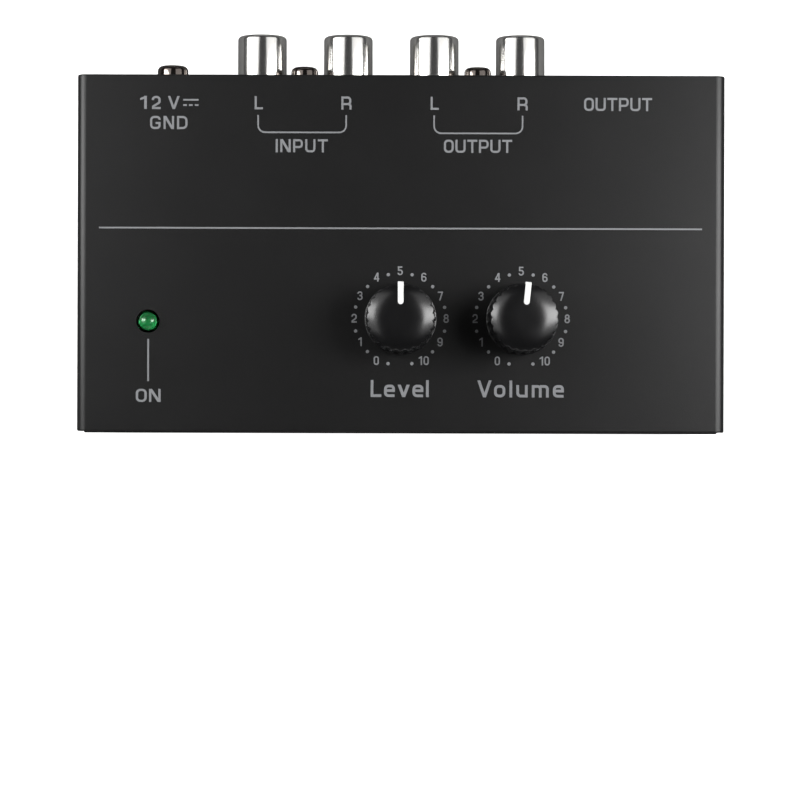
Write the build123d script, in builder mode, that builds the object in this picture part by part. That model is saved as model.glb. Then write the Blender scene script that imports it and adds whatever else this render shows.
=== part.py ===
from build123d import *
from math import atan2, cos, degrees, radians, sin
import os

# A compact phono preamplifier in a folded sheet-steel case. Millimetres, +X to the
# right, +Y towards the sockets, +Z up. The origin is the middle of the footprint,
# sockets included, on the surface that the rubber feet stand on.

# ------------------------------------------------------------ driving dimensions
# Case: a folded cover that drops over a folded chassis
case_width = 104.0
case_depth = 57.5            # front panel's face to the cover's back edge
case_height = 31.0           # without the feet
sheet = 1.0                  # thickness of the steel
bend_inner = 0.5             # inside radius of every fold
edge_round = 0.25            # rolled edge that the punch and the paint leave
panel_proud = 0.25           # the front panel stands this far ahead of the cover
panel_recess = 0.1           # and the back panel this far inside it
fold_gap = 0.1               # between the chassis and the cover all round
tab_width = 10.0             # the chassis's two side tabs, which take the case screws
tab_top_margin = 4.0         # tab above its screw's centre
relief_width = 0.8           # notch beside each tab, where the sheet folds
case_screw_offset = 4.3      # the case screws sit this far behind the case's middle

# Feet
foot_height = 2.5
foot_radius = 4.5
foot_taper = 0.5             # the foot is this much smaller in radius above its bevel
foot_bevel = 0.4             # bevel round its underside
foot_inset = 8.0             # foot's centre from the case's edges

# Circuit board on its standoffs
standoff_height = 4.0
standoff_radius = 3.0
board_thick = 1.6
board_side_gap = 1.0         # board's edge to the side tabs
board_front_gap = 4.0
board_back_gap = 0.5
board_corner = 1.0
board_screw_inset = 3.4      # screw centre from the board's edges
rear_screw_gap = 4.0         # rear screws ahead of the jack's back face

# Screws: head radius, head height, shank radius
machine_screw = (2.5, 2.1, 1.45)
block_screw = (2.2, 2.9, 1.4)
case_screw = (2.7, 1.5, 1.45)
head_bevel = 0.55            # round the top of every head
shank_past_tab = 1.5         # the case screws' ends stand this far inside their tabs
shank_short = 1.0            # board and block screws end this far inside their holes
thread_start = 0.4           # bevel on the end of the earth screw
thread_slack = 0.05          # radial, between a shank and its threaded hole
screw_hole_slack = 0.2       # radial, where a shank passes through a plain hole
recess_depth = 1.0
recess_width = 0.7
recess_share = 0.6           # cross recess's reach, as a share of the head's radius

# Phono sockets, in two blocks of two
barrel_radius = 4.05
barrel_reach = 8.1           # tips beyond the cover's back edge
barrel_round = 1.0           # rounded rim of each barrel
rim_flat = 0.05              # the rim's face that stays flat inside that round
barrel_wall = 0.6
lip_reach = 0.5              # rim turned in over the insulator
lip_length = 0.8
collar_step = 0.25           # collar inside the panel's hole is this much wider
panel_hole_slack = 0.1       # radial, round each connector's nose
flange_step = 0.6            # flange behind the panel, wider than its collar
flange_thick = 0.8
lug_width = 1.6
insulator_recess = 0.5       # insulator's face inside the barrel's tip
contact_bore = 1.65          # takes the plug's 3.2 mm centre pin
contact_wall = 0.3
seat_slack = 0.05            # radial, between pieces that are pushed together
socket_pitch = 14.27
first_socket_x = -23.08
socket_rise = 8.9            # socket's axis above the board
block_depth = 8.5
block_height = 17.0
block_chamfer = 2.0
connector_gap = 0.7          # between neighbouring connector housings
moulded_corner = 0.6         # upright corners of moulded and pressed housings
block_screw_rise = 3.0       # block screw above the sockets' axes
solder_tail = 1.2            # width of the contacts' solder tails
tail_thick = 0.4

# Quarter-inch output jack
jack_bore = 3.2
jack_nose = 5.5
jack_width = 15.5
jack_depth = 31.0
jack_height = 17.2
jack_chamfer = 2.0
jack_end_wall = 1.5
jack_contacts = {            # angle round the bore from the top, and depth of the crest
    "tip": (0, 26.0),
    "ring": (90, 19.0),
    "sleeve": (-90, 6.0),
}
leaf_thick = 0.35
leaf_width = 2.4
leaf_slot = 3.0
leaf_clear = 0.15            # a leaf's crest outside the bore's wall
leaf_bow = 1.6               # from the strip's seat down to its crest
leaf_half_length = 3.0       # of the bowed stretch
leaf_window = 3.4            # opening through the bore's wall at each crest
leaf_wall = 0.4              # wall between the bore and a leaf's slot

# Power inlet
inlet_width = 9.0
inlet_height = 11.0
inlet_face_depth = 3.4
inlet_depth = 14.2
inlet_rise = 6.5             # inlet's axis above the board
inlet_nose = 3.75
inlet_bore = 3.05            # takes the plug's 5.5 mm barrel
inlet_bore_depth = 9.6
inlet_pin = 1.05
inlet_pin_root = 1.25        # where the pin passes through the housing's back wall
inlet_pin_recess = 0.5
inlet_pin_round = 0.5        # its rounded tip
inlet_leaf_depth = 6.5       # crest of the side contact, from the panel
inlet_leaf_bow = 0.8
inlet_arch_step = 0.3        # the arch behind the face is this much narrower each side
inlet_gap = 3.0              # inlet housing to the input block

# Earth terminal above the power inlet
earth_rise = 8.9             # above the inlet's axis
earth_travel = 2.0           # how far the screw is backed off to take a fork terminal
earth_spare = 0.6            # shank still past the nut when it is backed off
washer_radius = 3.1
washer_thick = 0.5
washer_teeth = 12
tooth_depth = 0.5
tooth_gap = 0.6
nut_flats = 5.5
nut_height = 2.4

# Dials
dial_pitch = 19.4            # volume dial to the right of the level dial
dial_offset = -10.4          # dials' axes ahead of the case's middle
volume_turn = -6.4           # the volume pointer's turn from straight back, degrees
pot_width = 9.5
pot_length = 11.0
pot_height = 6.8
rotor_radius = 4.0
rotor_height = 1.0
rotor_room = 0.2             # free space round the rotor
rotor_floor = 1.2            # thickness under the rotor
bushing_radius = 3.5
bushing_height = 5.0
bushing_flange = 0.8
turned_edge = 0.3            # bevel on the ends of the bushing and of the shaft
shaft_radius = 3.0
running_slack = 0.05
shaft_hole_slack = 0.6       # radial, in the cover
shaft_flat_depth = 1.5
shaft_flat_below = 0.6       # its flat runs on this far below the knob

# Knobs
knob_gap = 0.6               # knob above the cover
knob_height = 10.9
skirt_radius = 5.75
skirt_height = 0.8
wall_foot_radius = 5.6
wall_top_radius = 5.25
dome_rise = 1.15
knob_wall = 0.9
hub_radius = 3.9
skirt_room = 5.0             # depth of the hollow round the hub
flute_count = 24
flute_radius = 0.61
flute_depth = 0.2
pointer_width = 0.92
pointer_start = 1.95         # pointer's inner end from the knob's axis
pointer_stand = 0.15         # above the dome and the wall
pointer_reach = 5.8          # its foot over the skirt, from the knob's axis
pointer_depth = 0.5
pointer_round = 0.4          # where it turns from the dome down the wall

# Power lamp
lamp_inset = 11.5            # from the case's left side
lamp_offset = -10.85         # ahead of the case's middle
lamp_radius = 1.55
lamp_stand = 1.3             # lamp's top above the cover
lamp_length = 5.3
lamp_flange = 1.9
lamp_flange_height = 1.0
lamp_hole_slack = 0.32
spacer_radius = 2.4
lead_thick = 0.5
lead_pitch = 2.54

# Components on the circuit board
row_gap = 4.5                # from the socket blocks to the back row's middle
row_pitch = 7.5              # from the back row to the middle row
component_pitch = 9.5        # between neighbours in both rows
component_count = 4
can_edge = 0.4               # rolled top edge of a can
box_edge = 0.3               # softened top edges of a moulded box
power_can = (4.0, 12.0)      # radius, height
power_can_offset = 10.0      # to the right of the inlet
power_can_pitch = 9.0
power_can_start = 3.0        # the first one ahead of the back row
coupling_can = (2.5, 11.0)
coupling_offset = 4.0        # the first one to the right of the first socket
film_box = (7.2, 3.5, 7.5)   # length, width, height
film_offset = 6.0
op_amp_box = (6.4, 9.6, 3.4)
op_amp_gap = 2.55            # to the level dial's housing
regulator_radius = 2.4
regulator_flat = 1.0         # its flat face from its axis
regulator_height = 4.8
regulator_lift = 3.0         # its body above the board
regulator_offset = 1.0       # to the right of the inlet
regulator_leg = 0.45
regulator_pitch = 1.27
regulator_setback = 0.2      # its legs ahead of its axis
resistor_count = 6
resistor_pitch = 2.9
resistor_gap = 1.9           # the nearest one's body to the op-amp
resistor_forward = 2.0       # ahead of the dials' axes
resistor_body = (1.1, 5.6)   # radius, length
resistor_wire = (0.25, 8.0)  # half thickness, length between its legs
resistor_lift = 1.4
diode_offset = 4.5           # to the left of the inlet
diode_body = (1.3, 4.8)
diode_wire = (0.35, 8.0)
diode_lift = 1.6

# ------------------------------------------------------- places that follow them
bend_outer = bend_inner + sheet
z_case = foot_height
z_floor = z_case + sheet
z_top = z_case + case_height
z_ceiling = z_top - sheet
z_panel_top = z_ceiling - fold_gap
z_board = z_floor + standoff_height
z_board_top = z_board + board_thick
y_front = -(case_depth + barrel_reach) / 2
y_cover_front = y_front + panel_proud
y_back = y_front + case_depth
y_middle = (y_front + y_back) / 2
y_panel = y_back - panel_recess
y_panel_in = y_panel - sheet
y_tip = y_back + barrel_reach
chassis_half = case_width / 2 - sheet - fold_gap
case_screw_y = y_middle + case_screw_offset
case_screw_z = z_case + case_height / 2

board_half = chassis_half - sheet - board_side_gap
y_board_front = y_front + sheet + board_front_gap
y_board_back = y_panel_in - board_back_gap

socket_z = z_board_top + socket_rise
block_width = 2 * socket_pitch - connector_gap
sockets = {
    "input_left": first_socket_x,
    "input_right": first_socket_x + socket_pitch,
    "output_left": first_socket_x + 2 * socket_pitch,
    "output_right": first_socket_x + 3 * socket_pitch,
}
blocks = {
    "input": (sockets["input_left"] + sockets["input_right"]) / 2,
    "output": (sockets["output_left"] + sockets["output_right"]) / 2,
}
y_block_back = y_panel_in - block_depth
block_screw_z = socket_z + block_screw_rise

jack_x = blocks["output"] + block_width / 2 + connector_gap + jack_width / 2
jack_z = socket_z
y_jack_back = y_panel_in - jack_depth
inlet_x = blocks["input"] - block_width / 2 - inlet_gap - inlet_width / 2
inlet_z = z_board_top + inlet_rise
earth_z = inlet_z + earth_rise

level_x = 0.0
volume_x = level_x + dial_pitch
dial_y = y_middle + dial_offset
z_pot_top = z_board_top + pot_height
z_knob = z_top + knob_gap
z_knob_top = z_knob + knob_height
z_wall_foot = z_knob + skirt_height
z_wall_top = z_knob_top - dome_rise
knob_bore_depth = knob_height - dome_rise - knob_wall
z_shaft_top = z_knob + knob_bore_depth - seat_slack

lamp_x = lamp_inset - case_width / 2
lamp_y = y_middle + lamp_offset
z_lamp_top = z_top + lamp_stand
z_lamp_foot = z_lamp_top - lamp_length

board_screw_places = [
    (side * (board_half - board_screw_inset), y)
    for side in (-1, 1)
    for y in (y_board_front + board_screw_inset, y_jack_back - rear_screw_gap)
]


def keep(piece, name):
    """Label a finished piece and write it under its own name."""
    piece.part.label = name
    export_step(piece.part, f"parts/{name}.step")


def facing_back(y):
    """An upright plane across the case at y, whose normal points to the back."""
    return Plane(origin=(0, y, 0), x_dir=(-1, 0, 0), z_dir=(0, 1, 0))


def turned_about(x, z):
    """A level plane through an axis along Y: its x is the radius, its y is Y."""
    return Plane(origin=(x, 0, z))


def pan_heads(plane, places, screw, shank_length):
    """Add cross-recessed pan heads that stand on a plane, with their shanks below it."""
    radius, height, shank_radius = screw
    with BuildSketch(plane) as heads:
        with Locations(*places):
            Circle(radius)
    extrude(heads.sketch, amount=height)
    rims = edges(Select.LAST).filter_by(GeomType.CIRCLE).group_by(Axis(plane.origin, plane.z_dir))[-1]
    chamfer(rims, head_bevel)
    with BuildSketch(plane.offset(height)) as crosses:
        with Locations(*places):
            Rectangle(2 * radius * recess_share, recess_width)
            Rectangle(recess_width, 2 * radius * recess_share)
    extrude(crosses.sketch, amount=-recess_depth, mode=Mode.SUBTRACT)
    with BuildSketch(plane) as shanks:
        with Locations(*places):
            Circle(shank_radius)
    extrude(shanks.sketch, amount=-shank_length)


# ------------------------------------------------------------------ folded case
os.makedirs("parts", exist_ok=True)

with BuildPart() as top_cover:
    with BuildSketch(Plane.XZ.offset(-y_back)):
        with BuildLine():
            outside = FilletPolyline(
                (-case_width / 2, z_case),
                (-case_width / 2, z_top),
                (case_width / 2, z_top),
                (case_width / 2, z_case),
                radius=bend_outer,
            )
            offset(outside, amount=sheet, side=Side.RIGHT)
        make_face()
    extrude(amount=y_back - y_cover_front)
    fillet(top_cover.faces().sort_by(Axis.Y)[0].edges(), edge_round)
    fillet(top_cover.faces().sort_by(Axis.Y)[-1].edges(), edge_round)
    with BuildSketch(Plane.XY.offset(z_ceiling)):
        with Locations((level_x, dial_y), (volume_x, dial_y)):
            Circle(shaft_radius + shaft_hole_slack)
        with Locations((lamp_x, lamp_y)):
            Circle(lamp_radius + lamp_hole_slack)
    extrude(amount=sheet, mode=Mode.SUBTRACT)
    with BuildSketch(Plane.YZ.offset(-case_width / 2)):
        with Locations((case_screw_y, case_screw_z)):
            Circle(case_screw[2] + screw_hole_slack)
    extrude(amount=case_width, mode=Mode.SUBTRACT)
keep(top_cover, "top_cover")

with BuildPart() as bottom_chassis:
    with BuildSketch(Plane.YZ):
        with BuildLine():
            outside = FilletPolyline(
                (y_front, z_panel_top),
                (y_front, z_case),
                (y_panel, z_case),
                (y_panel, z_panel_top),
                radius=bend_outer,
            )
            offset(outside, amount=sheet, side=Side.LEFT)
        make_face()
    extrude(amount=chassis_half, both=True)
    # The panels' top corners follow the inside of the cover's folds
    fillet(bottom_chassis.edges().filter_by(Axis.Y).group_by(Axis.Z)[-1], bend_inner)
    fillet(bottom_chassis.faces().sort_by(Axis.Y)[0].edges().sort_by(Axis.Z)[1:], edge_round)
    # Each side tab is folded up between two relief notches
    notch_width = tab_width + 2 * relief_width
    with BuildSketch(Plane.XY.offset(z_case)):
        with Locations((chassis_half - bend_outer / 2, case_screw_y)):
            Rectangle(bend_outer, notch_width)
    extrude(amount=sheet, mode=Mode.SUBTRACT)
    with BuildSketch(Plane.XZ.offset(-case_screw_y - tab_width / 2)):
        with BuildLine():
            fold = FilletPolyline(
                (chassis_half - 2 * bend_outer, z_case),
                (chassis_half, z_case),
                (chassis_half, case_screw_z + tab_top_margin),
                radius=bend_outer,
            )
            offset(fold, amount=sheet, side=Side.LEFT)
        make_face()
    extrude(amount=tab_width)
    mirror(about=Plane.YZ)
    with BuildSketch(Plane.YZ.offset(-chassis_half)):
        with Locations((case_screw_y, case_screw_z)):
            Circle(case_screw[2] + thread_slack)
    extrude(amount=2 * chassis_half, mode=Mode.SUBTRACT)
    # Openings of the back panel
    with BuildSketch(Plane.XZ.offset(-y_panel)):
        with Locations(*[(x, socket_z) for x in sockets.values()]):
            Circle(barrel_radius + collar_step + panel_hole_slack)
        with Locations(*[(x, block_screw_z) for x in blocks.values()]):
            Circle(block_screw[2] + screw_hole_slack)
        with Locations((jack_x, jack_z)):
            Circle(jack_nose + panel_hole_slack)
        with Locations((inlet_x, inlet_z)):
            Circle(inlet_nose + panel_hole_slack)
        with Locations((inlet_x, earth_z)):
            Circle(machine_screw[2] + screw_hole_slack)
    extrude(amount=sheet, mode=Mode.SUBTRACT)
keep(bottom_chassis, "bottom_chassis")

case_screw_grip = 2 * sheet + fold_gap + shank_past_tab
with BuildPart() as case_screws:
    for plane in (
        Plane(origin=(case_width / 2, 0, 0), x_dir=(0, 1, 0), z_dir=(1, 0, 0)),
        Plane(origin=(-case_width / 2, 0, 0), x_dir=(0, -1, 0), z_dir=(-1, 0, 0)),
    ):
        place = plane.to_local_coords(Vector(0, case_screw_y, case_screw_z))
        pan_heads(plane, [(place.X, place.Y)], case_screw, case_screw_grip)
keep(case_screws, "case_screws")

foot_x = case_width / 2 - foot_inset
foot_places = {
    "front_left": (-foot_x, y_front + foot_inset),
    "front_right": (foot_x, y_front + foot_inset),
    "back_left": (-foot_x, y_back - foot_inset),
    "back_right": (foot_x, y_back - foot_inset),
}
for corner, (x, y) in foot_places.items():
    with BuildPart() as foot:
        with BuildSketch(Plane(origin=(x, y, 0), x_dir=(1, 0, 0), z_dir=(0, -1, 0))):
            with BuildLine():
                Polyline(
                    (0, 0),
                    (foot_radius - foot_taper - foot_bevel, 0),
                    (foot_radius - foot_taper, foot_bevel),
                    (foot_radius, foot_height),
                    (0, foot_height),
                    close=True,
                )
            make_face()
        revolve(axis=Axis((x, y, 0), (0, 0, 1)))
    keep(foot, f"rubber_foot_{corner}")

# ---------------------------------------------------------------- circuit board
with BuildPart() as circuit_board:
    with BuildSketch(Plane.XY.offset(z_board)):
        with Locations((0, (y_board_front + y_board_back) / 2)):
            RectangleRounded(2 * board_half, y_board_back - y_board_front, board_corner)
        with Locations(*board_screw_places):
            Circle(machine_screw[2] + screw_hole_slack, mode=Mode.SUBTRACT)
    extrude(amount=board_thick)
keep(circuit_board, "circuit_board")

with BuildPart() as board_standoffs:
    with BuildSketch(Plane.XY.offset(z_floor)):
        with Locations(*board_screw_places):
            RegularPolygon(standoff_radius, 6)
            Circle(machine_screw[2] + thread_slack, mode=Mode.SUBTRACT)
    extrude(amount=standoff_height)
keep(board_standoffs, "board_standoffs")

with BuildPart() as board_screws:
    board_screw_grip = board_thick + standoff_height - shank_short
    pan_heads(Plane.XY.offset(z_board_top), board_screw_places, machine_screw, board_screw_grip)
keep(board_screws, "board_screws")

# ---------------------------------------------------------------- phono sockets
collar_radius = barrel_radius + collar_step
flange_radius = collar_radius + flange_step
shell_bore = barrel_radius - barrel_wall
insulator_radius = shell_bore - seat_slack
contact_radius = contact_bore + contact_wall
y_insulator = y_tip - insulator_recess
y_contact = y_insulator - lip_length

for kind, x in blocks.items():
    with BuildPart() as block:
        with BuildSketch(facing_back(y_panel_in)):
            with Locations((-x, z_board_top + block_height / 2)):
                outline = Rectangle(block_width, block_height)
            chamfer(outline.vertices().group_by(Axis.Z)[-1], block_chamfer)
        extrude(amount=-block_depth)
        # Front recesses seat the shells' flanges and their earth lugs
        with BuildSketch(facing_back(y_panel_in)):
            with Locations(*[(-x + side * socket_pitch / 2, socket_z) for side in (-1, 1)]):
                Circle(flange_radius + seat_slack)
            for side in (-1, 1):
                with Locations((-x + side * socket_pitch / 2, (socket_z + z_board_top) / 2)):
                    Rectangle(lug_width + 2 * seat_slack, socket_z - z_board_top)
        extrude(amount=-flange_thick, mode=Mode.SUBTRACT)
        with BuildSketch(facing_back(y_panel_in)):
            with Locations(*[(-x + side * socket_pitch / 2, socket_z) for side in (-1, 1)]):
                Circle(insulator_radius + seat_slack)
        extrude(amount=-block_depth, mode=Mode.SUBTRACT)
        with BuildSketch(facing_back(y_panel_in)):
            with Locations((-x, block_screw_z)):
                Circle(block_screw[2] + thread_slack)
        extrude(amount=-block_depth, mode=Mode.SUBTRACT)
    keep(block, f"rca_{kind}_block")

for name, x in sockets.items():
    axis = Axis((x, 0, socket_z), (0, 1, 0))
    with BuildPart() as shell:
        with BuildSketch(turned_about(x, socket_z)):
            with BuildLine():
                Polyline(
                    (shell_bore, y_panel_in - flange_thick),
                    (flange_radius, y_panel_in - flange_thick),
                    (flange_radius, y_panel_in),
                    (collar_radius, y_panel_in),
                    (collar_radius, y_panel),
                    (barrel_radius, y_panel),
                    (barrel_radius, y_tip),
                    (shell_bore - lip_reach, y_tip),
                    (shell_bore - lip_reach, y_tip - lip_length),
                    (shell_bore, y_tip - lip_length),
                    close=True,
                )
            make_face()
        revolve(axis=axis)
        rim = shell.edges().filter_by(GeomType.CIRCLE).group_by(Axis.Y)[-1].sort_by(SortBy.RADIUS)[-1]
        fillet(rim, min(barrel_round, barrel_wall + lip_reach - rim_flat))
        with BuildSketch(facing_back(y_panel_in)):
            with Locations((-x, (socket_z - collar_radius + z_board_top) / 2)):
                Rectangle(lug_width, socket_z - collar_radius - z_board_top)
        extrude(amount=-flange_thick)
    keep(shell, f"rca_shell_{name}")

    with BuildPart() as insulator:
        with BuildSketch(turned_about(x, socket_z)):
            with BuildLine():
                Polyline(
                    (contact_radius + seat_slack, y_block_back),
                    (insulator_radius, y_block_back),
                    (insulator_radius, y_tip - lip_length),
                    (insulator_radius - lip_reach, y_tip - lip_length),
                    (insulator_radius - lip_reach, y_insulator),
                    (contact_bore + seat_slack, y_insulator),
                    (contact_bore + seat_slack, y_contact),
                    (contact_radius + seat_slack, y_contact),
                    close=True,
                )
            make_face()
        revolve(axis=axis)
    keep(insulator, f"rca_insulator_{name}")

    with BuildPart() as contact:
        with BuildSketch(facing_back(y_block_back)):
            with Locations((-x, socket_z)):
                Circle(contact_radius)
                Circle(contact_bore, mode=Mode.SUBTRACT)
        extrude(amount=y_contact - y_block_back)
        # The tube's closed end carries the solder tail down to the board
        with BuildSketch(facing_back(y_block_back)):
            with Locations((-x, socket_z)):
                Circle(contact_radius)
            with Locations((-x, (socket_z + z_board_top) / 2)):
                Rectangle(solder_tail, socket_z - z_board_top)
        extrude(amount=-tail_thick)
    keep(contact, f"rca_contact_{name}")

with BuildPart() as rca_block_screws:
    places = [(-x, block_screw_z) for x in blocks.values()]
    pan_heads(facing_back(y_panel), places, block_screw, block_depth - shank_short + sheet)
keep(rca_block_screws, "rca_block_screws")


# ------------------------------------------------------ leaf contacts of a jack
def leaf(bore_plane, crest, bow, y_crest, y_housing_back):
    """Add a bent leaf beside a bore: its crest faces the bore's axis, and its strip
    runs back to just behind the housing. The plane's x is Y, its y the way outwards."""
    seat = crest + bow
    with BuildSketch(bore_plane) as strip:
        with BuildLine():
            Polyline(
                (y_crest + leaf_half_length, seat),
                (y_crest, crest),
                (y_crest - leaf_half_length, seat),
                (y_housing_back - tail_thick, seat),
            )
        trace(line_width=leaf_thick)
    extrude(strip.sketch, amount=leaf_width / 2, both=True)


def solder_pin(x, y_housing_back, z_pin_top, width):
    """Add a flat pin behind a housing, from a height down to the board."""
    with BuildSketch(facing_back(y_housing_back)) as pin:
        with Locations((-x, (z_pin_top + z_board_top) / 2)):
            Rectangle(width, z_pin_top - z_board_top)
    extrude(pin.sketch, amount=-tail_thick)


def beside_bore(x, z, angle):
    """The plane through a bore's axis along Y that also holds the way out at an angle."""
    outward = Vector(sin(radians(angle)), 0, cos(radians(angle)))
    return Plane(origin=(x, 0, z), x_dir=(0, 1, 0), z_dir=Vector(0, 1, 0).cross(outward))


def slot(bore_plane, low, high, y_start, y_end):
    """Cut a leaf's slot between two radii, from y_start back to y_end."""
    with BuildSketch(bore_plane) as side:
        with Locations(((y_start + y_end) / 2, (low + high) / 2)):
            Rectangle(y_start - y_end, high - low)
    extrude(side.sketch, amount=leaf_slot / 2, both=True, mode=Mode.SUBTRACT)


# ---------------------------------------------------------- quarter-inch jack
leaf_crest = jack_bore + leaf_clear + leaf_thick / 2
leaf_seat = leaf_crest + leaf_bow
slot_floor = jack_bore + leaf_wall
slot_roof = leaf_seat + leaf_thick

with BuildPart() as trs_jack_housing:
    with BuildSketch(facing_back(y_panel_in)):
        with Locations((-jack_x, z_board_top + jack_height / 2)):
            outline = Rectangle(jack_width, jack_height)
        chamfer(outline.vertices().group_by(Axis.Z)[-1], jack_chamfer)
    extrude(amount=-jack_depth)
    with BuildSketch(facing_back(y_panel_in)):
        with Locations((-jack_x, jack_z)):
            Circle(jack_nose)
    extrude(amount=y_panel - y_panel_in)
    with BuildSketch(facing_back(y_panel)):
        with Locations((-jack_x, jack_z)):
            Circle(jack_bore)
    extrude(amount=-(y_panel - y_jack_back - jack_end_wall), mode=Mode.SUBTRACT)
    for angle, depth in jack_contacts.values():
        side_plane = beside_bore(jack_x, jack_z, angle)
        y_crest = y_panel - depth
        slot(side_plane, slot_floor, slot_roof, y_crest + leaf_half_length + leaf_thick, y_jack_back)
        y_window = y_crest + leaf_window / 2
        slot(side_plane, jack_bore - leaf_clear, slot_floor, y_window, y_window - leaf_window)
keep(trs_jack_housing, "trs_jack_housing")

for name, (angle, depth) in jack_contacts.items():
    with BuildPart() as contact:
        leaf(beside_bore(jack_x, jack_z, angle), leaf_crest, leaf_bow, y_panel - depth, y_jack_back)
        pin_x = jack_x + leaf_seat * sin(radians(angle))
        pin_top = jack_z + leaf_seat * cos(radians(angle)) + leaf_thick / 2
        solder_pin(pin_x, y_jack_back, pin_top, solder_tail)
    keep(contact, f"trs_{name}_contact")

# ------------------------------------------------------------------ power inlet
y_inlet_face_back = y_panel_in - inlet_face_depth
y_inlet_bore_end = y_panel - inlet_bore_depth
y_inlet_back = y_panel_in - inlet_depth
y_inlet_crest = y_panel - inlet_leaf_depth
inlet_leaf_crest = inlet_bore + leaf_clear / 2 + leaf_thick / 2
inlet_leaf_seat = inlet_leaf_crest + inlet_leaf_bow
inlet_under = beside_bore(inlet_x, inlet_z, 180)

with BuildPart() as dc_jack_housing:
    with BuildSketch(facing_back(y_panel_in)):
        with Locations((-inlet_x, z_board_top + inlet_height / 2)):
            RectangleRounded(inlet_width, inlet_height, moulded_corner)
    extrude(amount=-inlet_face_depth)
    # Behind its face the housing is an arch over the bore
    arch_radius = inlet_width / 2 - inlet_arch_step
    with BuildSketch(facing_back(y_inlet_face_back)):
        with Locations((-inlet_x, inlet_z)):
            Circle(arch_radius)
        with Locations((-inlet_x, (z_board_top + inlet_z) / 2)):
            Rectangle(2 * arch_radius, inlet_z - z_board_top)
    extrude(amount=-(inlet_depth - inlet_face_depth))
    with BuildSketch(facing_back(y_panel_in)):
        with Locations((-inlet_x, inlet_z)):
            Circle(inlet_nose)
    extrude(amount=y_panel - y_panel_in)
    with BuildSketch(facing_back(y_panel)):
        with Locations((-inlet_x, inlet_z)):
            Circle(inlet_bore)
    extrude(amount=-inlet_bore_depth, mode=Mode.SUBTRACT)
    with BuildSketch(facing_back(y_inlet_bore_end)):
        with Locations((-inlet_x, inlet_z)):
            Circle(inlet_pin_root + seat_slack)
    extrude(amount=-(y_inlet_bore_end - y_inlet_back), mode=Mode.SUBTRACT)
    # The side contact lies in a slot under the bore
    y_slot = min(y_inlet_crest + leaf_half_length + leaf_thick, y_panel_in)
    slot(inlet_under, inlet_bore - leaf_wall, inlet_leaf_seat + leaf_thick, y_slot, y_inlet_back)
keep(dc_jack_housing, "dc_jack_housing")

with BuildPart() as dc_jack_pin:
    with BuildSketch(facing_back(y_inlet_bore_end)):
        with Locations((-inlet_x, inlet_z)):
            Circle(inlet_pin)
    extrude(amount=y_panel - inlet_pin_recess - y_inlet_bore_end)
    fillet(dc_jack_pin.edges().filter_by(GeomType.CIRCLE).sort_by(Axis.Y)[-1], inlet_pin_round)
    with BuildSketch(facing_back(y_inlet_bore_end)):
        with Locations((-inlet_x, inlet_z)):
            Circle(inlet_pin_root)
    extrude(amount=-(y_inlet_bore_end - y_inlet_back))
    # A short tail behind the housing, clear of the side contact's pin
    tail_reach = inlet_leaf_seat - leaf_thick
    with BuildSketch(facing_back(y_inlet_back)):
        with Locations((-inlet_x, inlet_z)):
            Circle(inlet_pin_root)
        with Locations((-inlet_x, inlet_z - tail_reach / 2)):
            Rectangle(solder_tail, tail_reach)
    extrude(amount=-tail_thick)
keep(dc_jack_pin, "dc_jack_pin")

with BuildPart() as dc_jack_spring:
    leaf(inlet_under, inlet_leaf_crest, inlet_leaf_bow, y_inlet_crest, y_inlet_back)
    solder_pin(inlet_x, y_inlet_back, inlet_z - inlet_leaf_seat, solder_tail)
keep(dc_jack_spring, "dc_jack_spring")

# --------------------------------------------------------------- earth terminal
y_washer = y_panel + washer_thick

with BuildPart() as ground_screw:
    earth_grip = washer_thick + sheet + nut_height + earth_travel + earth_spare
    pan_heads(facing_back(y_washer), [(-inlet_x, earth_z)], machine_screw, earth_grip)
    chamfer(ground_screw.edges().filter_by(GeomType.CIRCLE).sort_by(Axis.Y)[0], thread_start)
keep(ground_screw, "ground_screw")

with BuildPart() as ground_washer:
    with BuildSketch(facing_back(y_panel)):
        with Locations((-inlet_x, earth_z)):
            Circle(washer_radius)
            Circle(machine_screw[2] + running_slack, mode=Mode.SUBTRACT)
            with PolarLocations(washer_radius, washer_teeth):
                Rectangle(2 * tooth_depth, tooth_gap, mode=Mode.SUBTRACT)
    extrude(amount=washer_thick)
keep(ground_washer, "ground_washer")

with BuildPart() as ground_nut:
    with BuildSketch(facing_back(y_panel_in)):
        with Locations((-inlet_x, earth_z)):
            RegularPolygon(nut_flats / 2, 6, major_radius=False)
            Circle(machine_screw[2] + thread_slack, mode=Mode.SUBTRACT)
    extrude(amount=-nut_height)
keep(ground_nut, "ground_nut")


# ------------------------------------------------------------- dials and knobs
def dial_plane(x, turn):
    """An upright plane through a dial's axis: its x is the way the pointer points."""
    pointing = (-sin(radians(turn)), cos(radians(turn)), 0)
    return Plane(origin=(x, dial_y, 0), x_dir=pointing, z_dir=(pointing[1], -pointing[0], 0))


def half_knob(plane, grow, foot, rim_round=0.0):
    """The knob's half section on its upright plane, made larger by grow all over. Its foot
    reaches out to a radius of its own, and its rim may be rounded."""
    with BuildSketch(plane) as section:
        with BuildLine():
            Polyline(
                (0, z_knob),
                (foot, z_knob),
                (foot, z_wall_foot + grow),
                (wall_foot_radius + grow, z_wall_foot + grow),
                (wall_top_radius + grow, z_wall_top),
            )
            dome_start = Vector(wall_top_radius + grow, z_wall_top)
            dome_end = Vector(0, z_knob_top + grow)
            dome_radius = (dome_start.X**2 + (dome_end.Y - dome_start.Y) ** 2) / (
                2 * (dome_end.Y - dome_start.Y)
            )
            RadiusArc(dome_start, dome_end, -dome_radius)
            Line(dome_end, (0, z_knob))
        make_face()
        if rim_round:
            fillet(section.vertices().sort_by_distance(dome_start)[0], rim_round)
    return section.sketch


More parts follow.
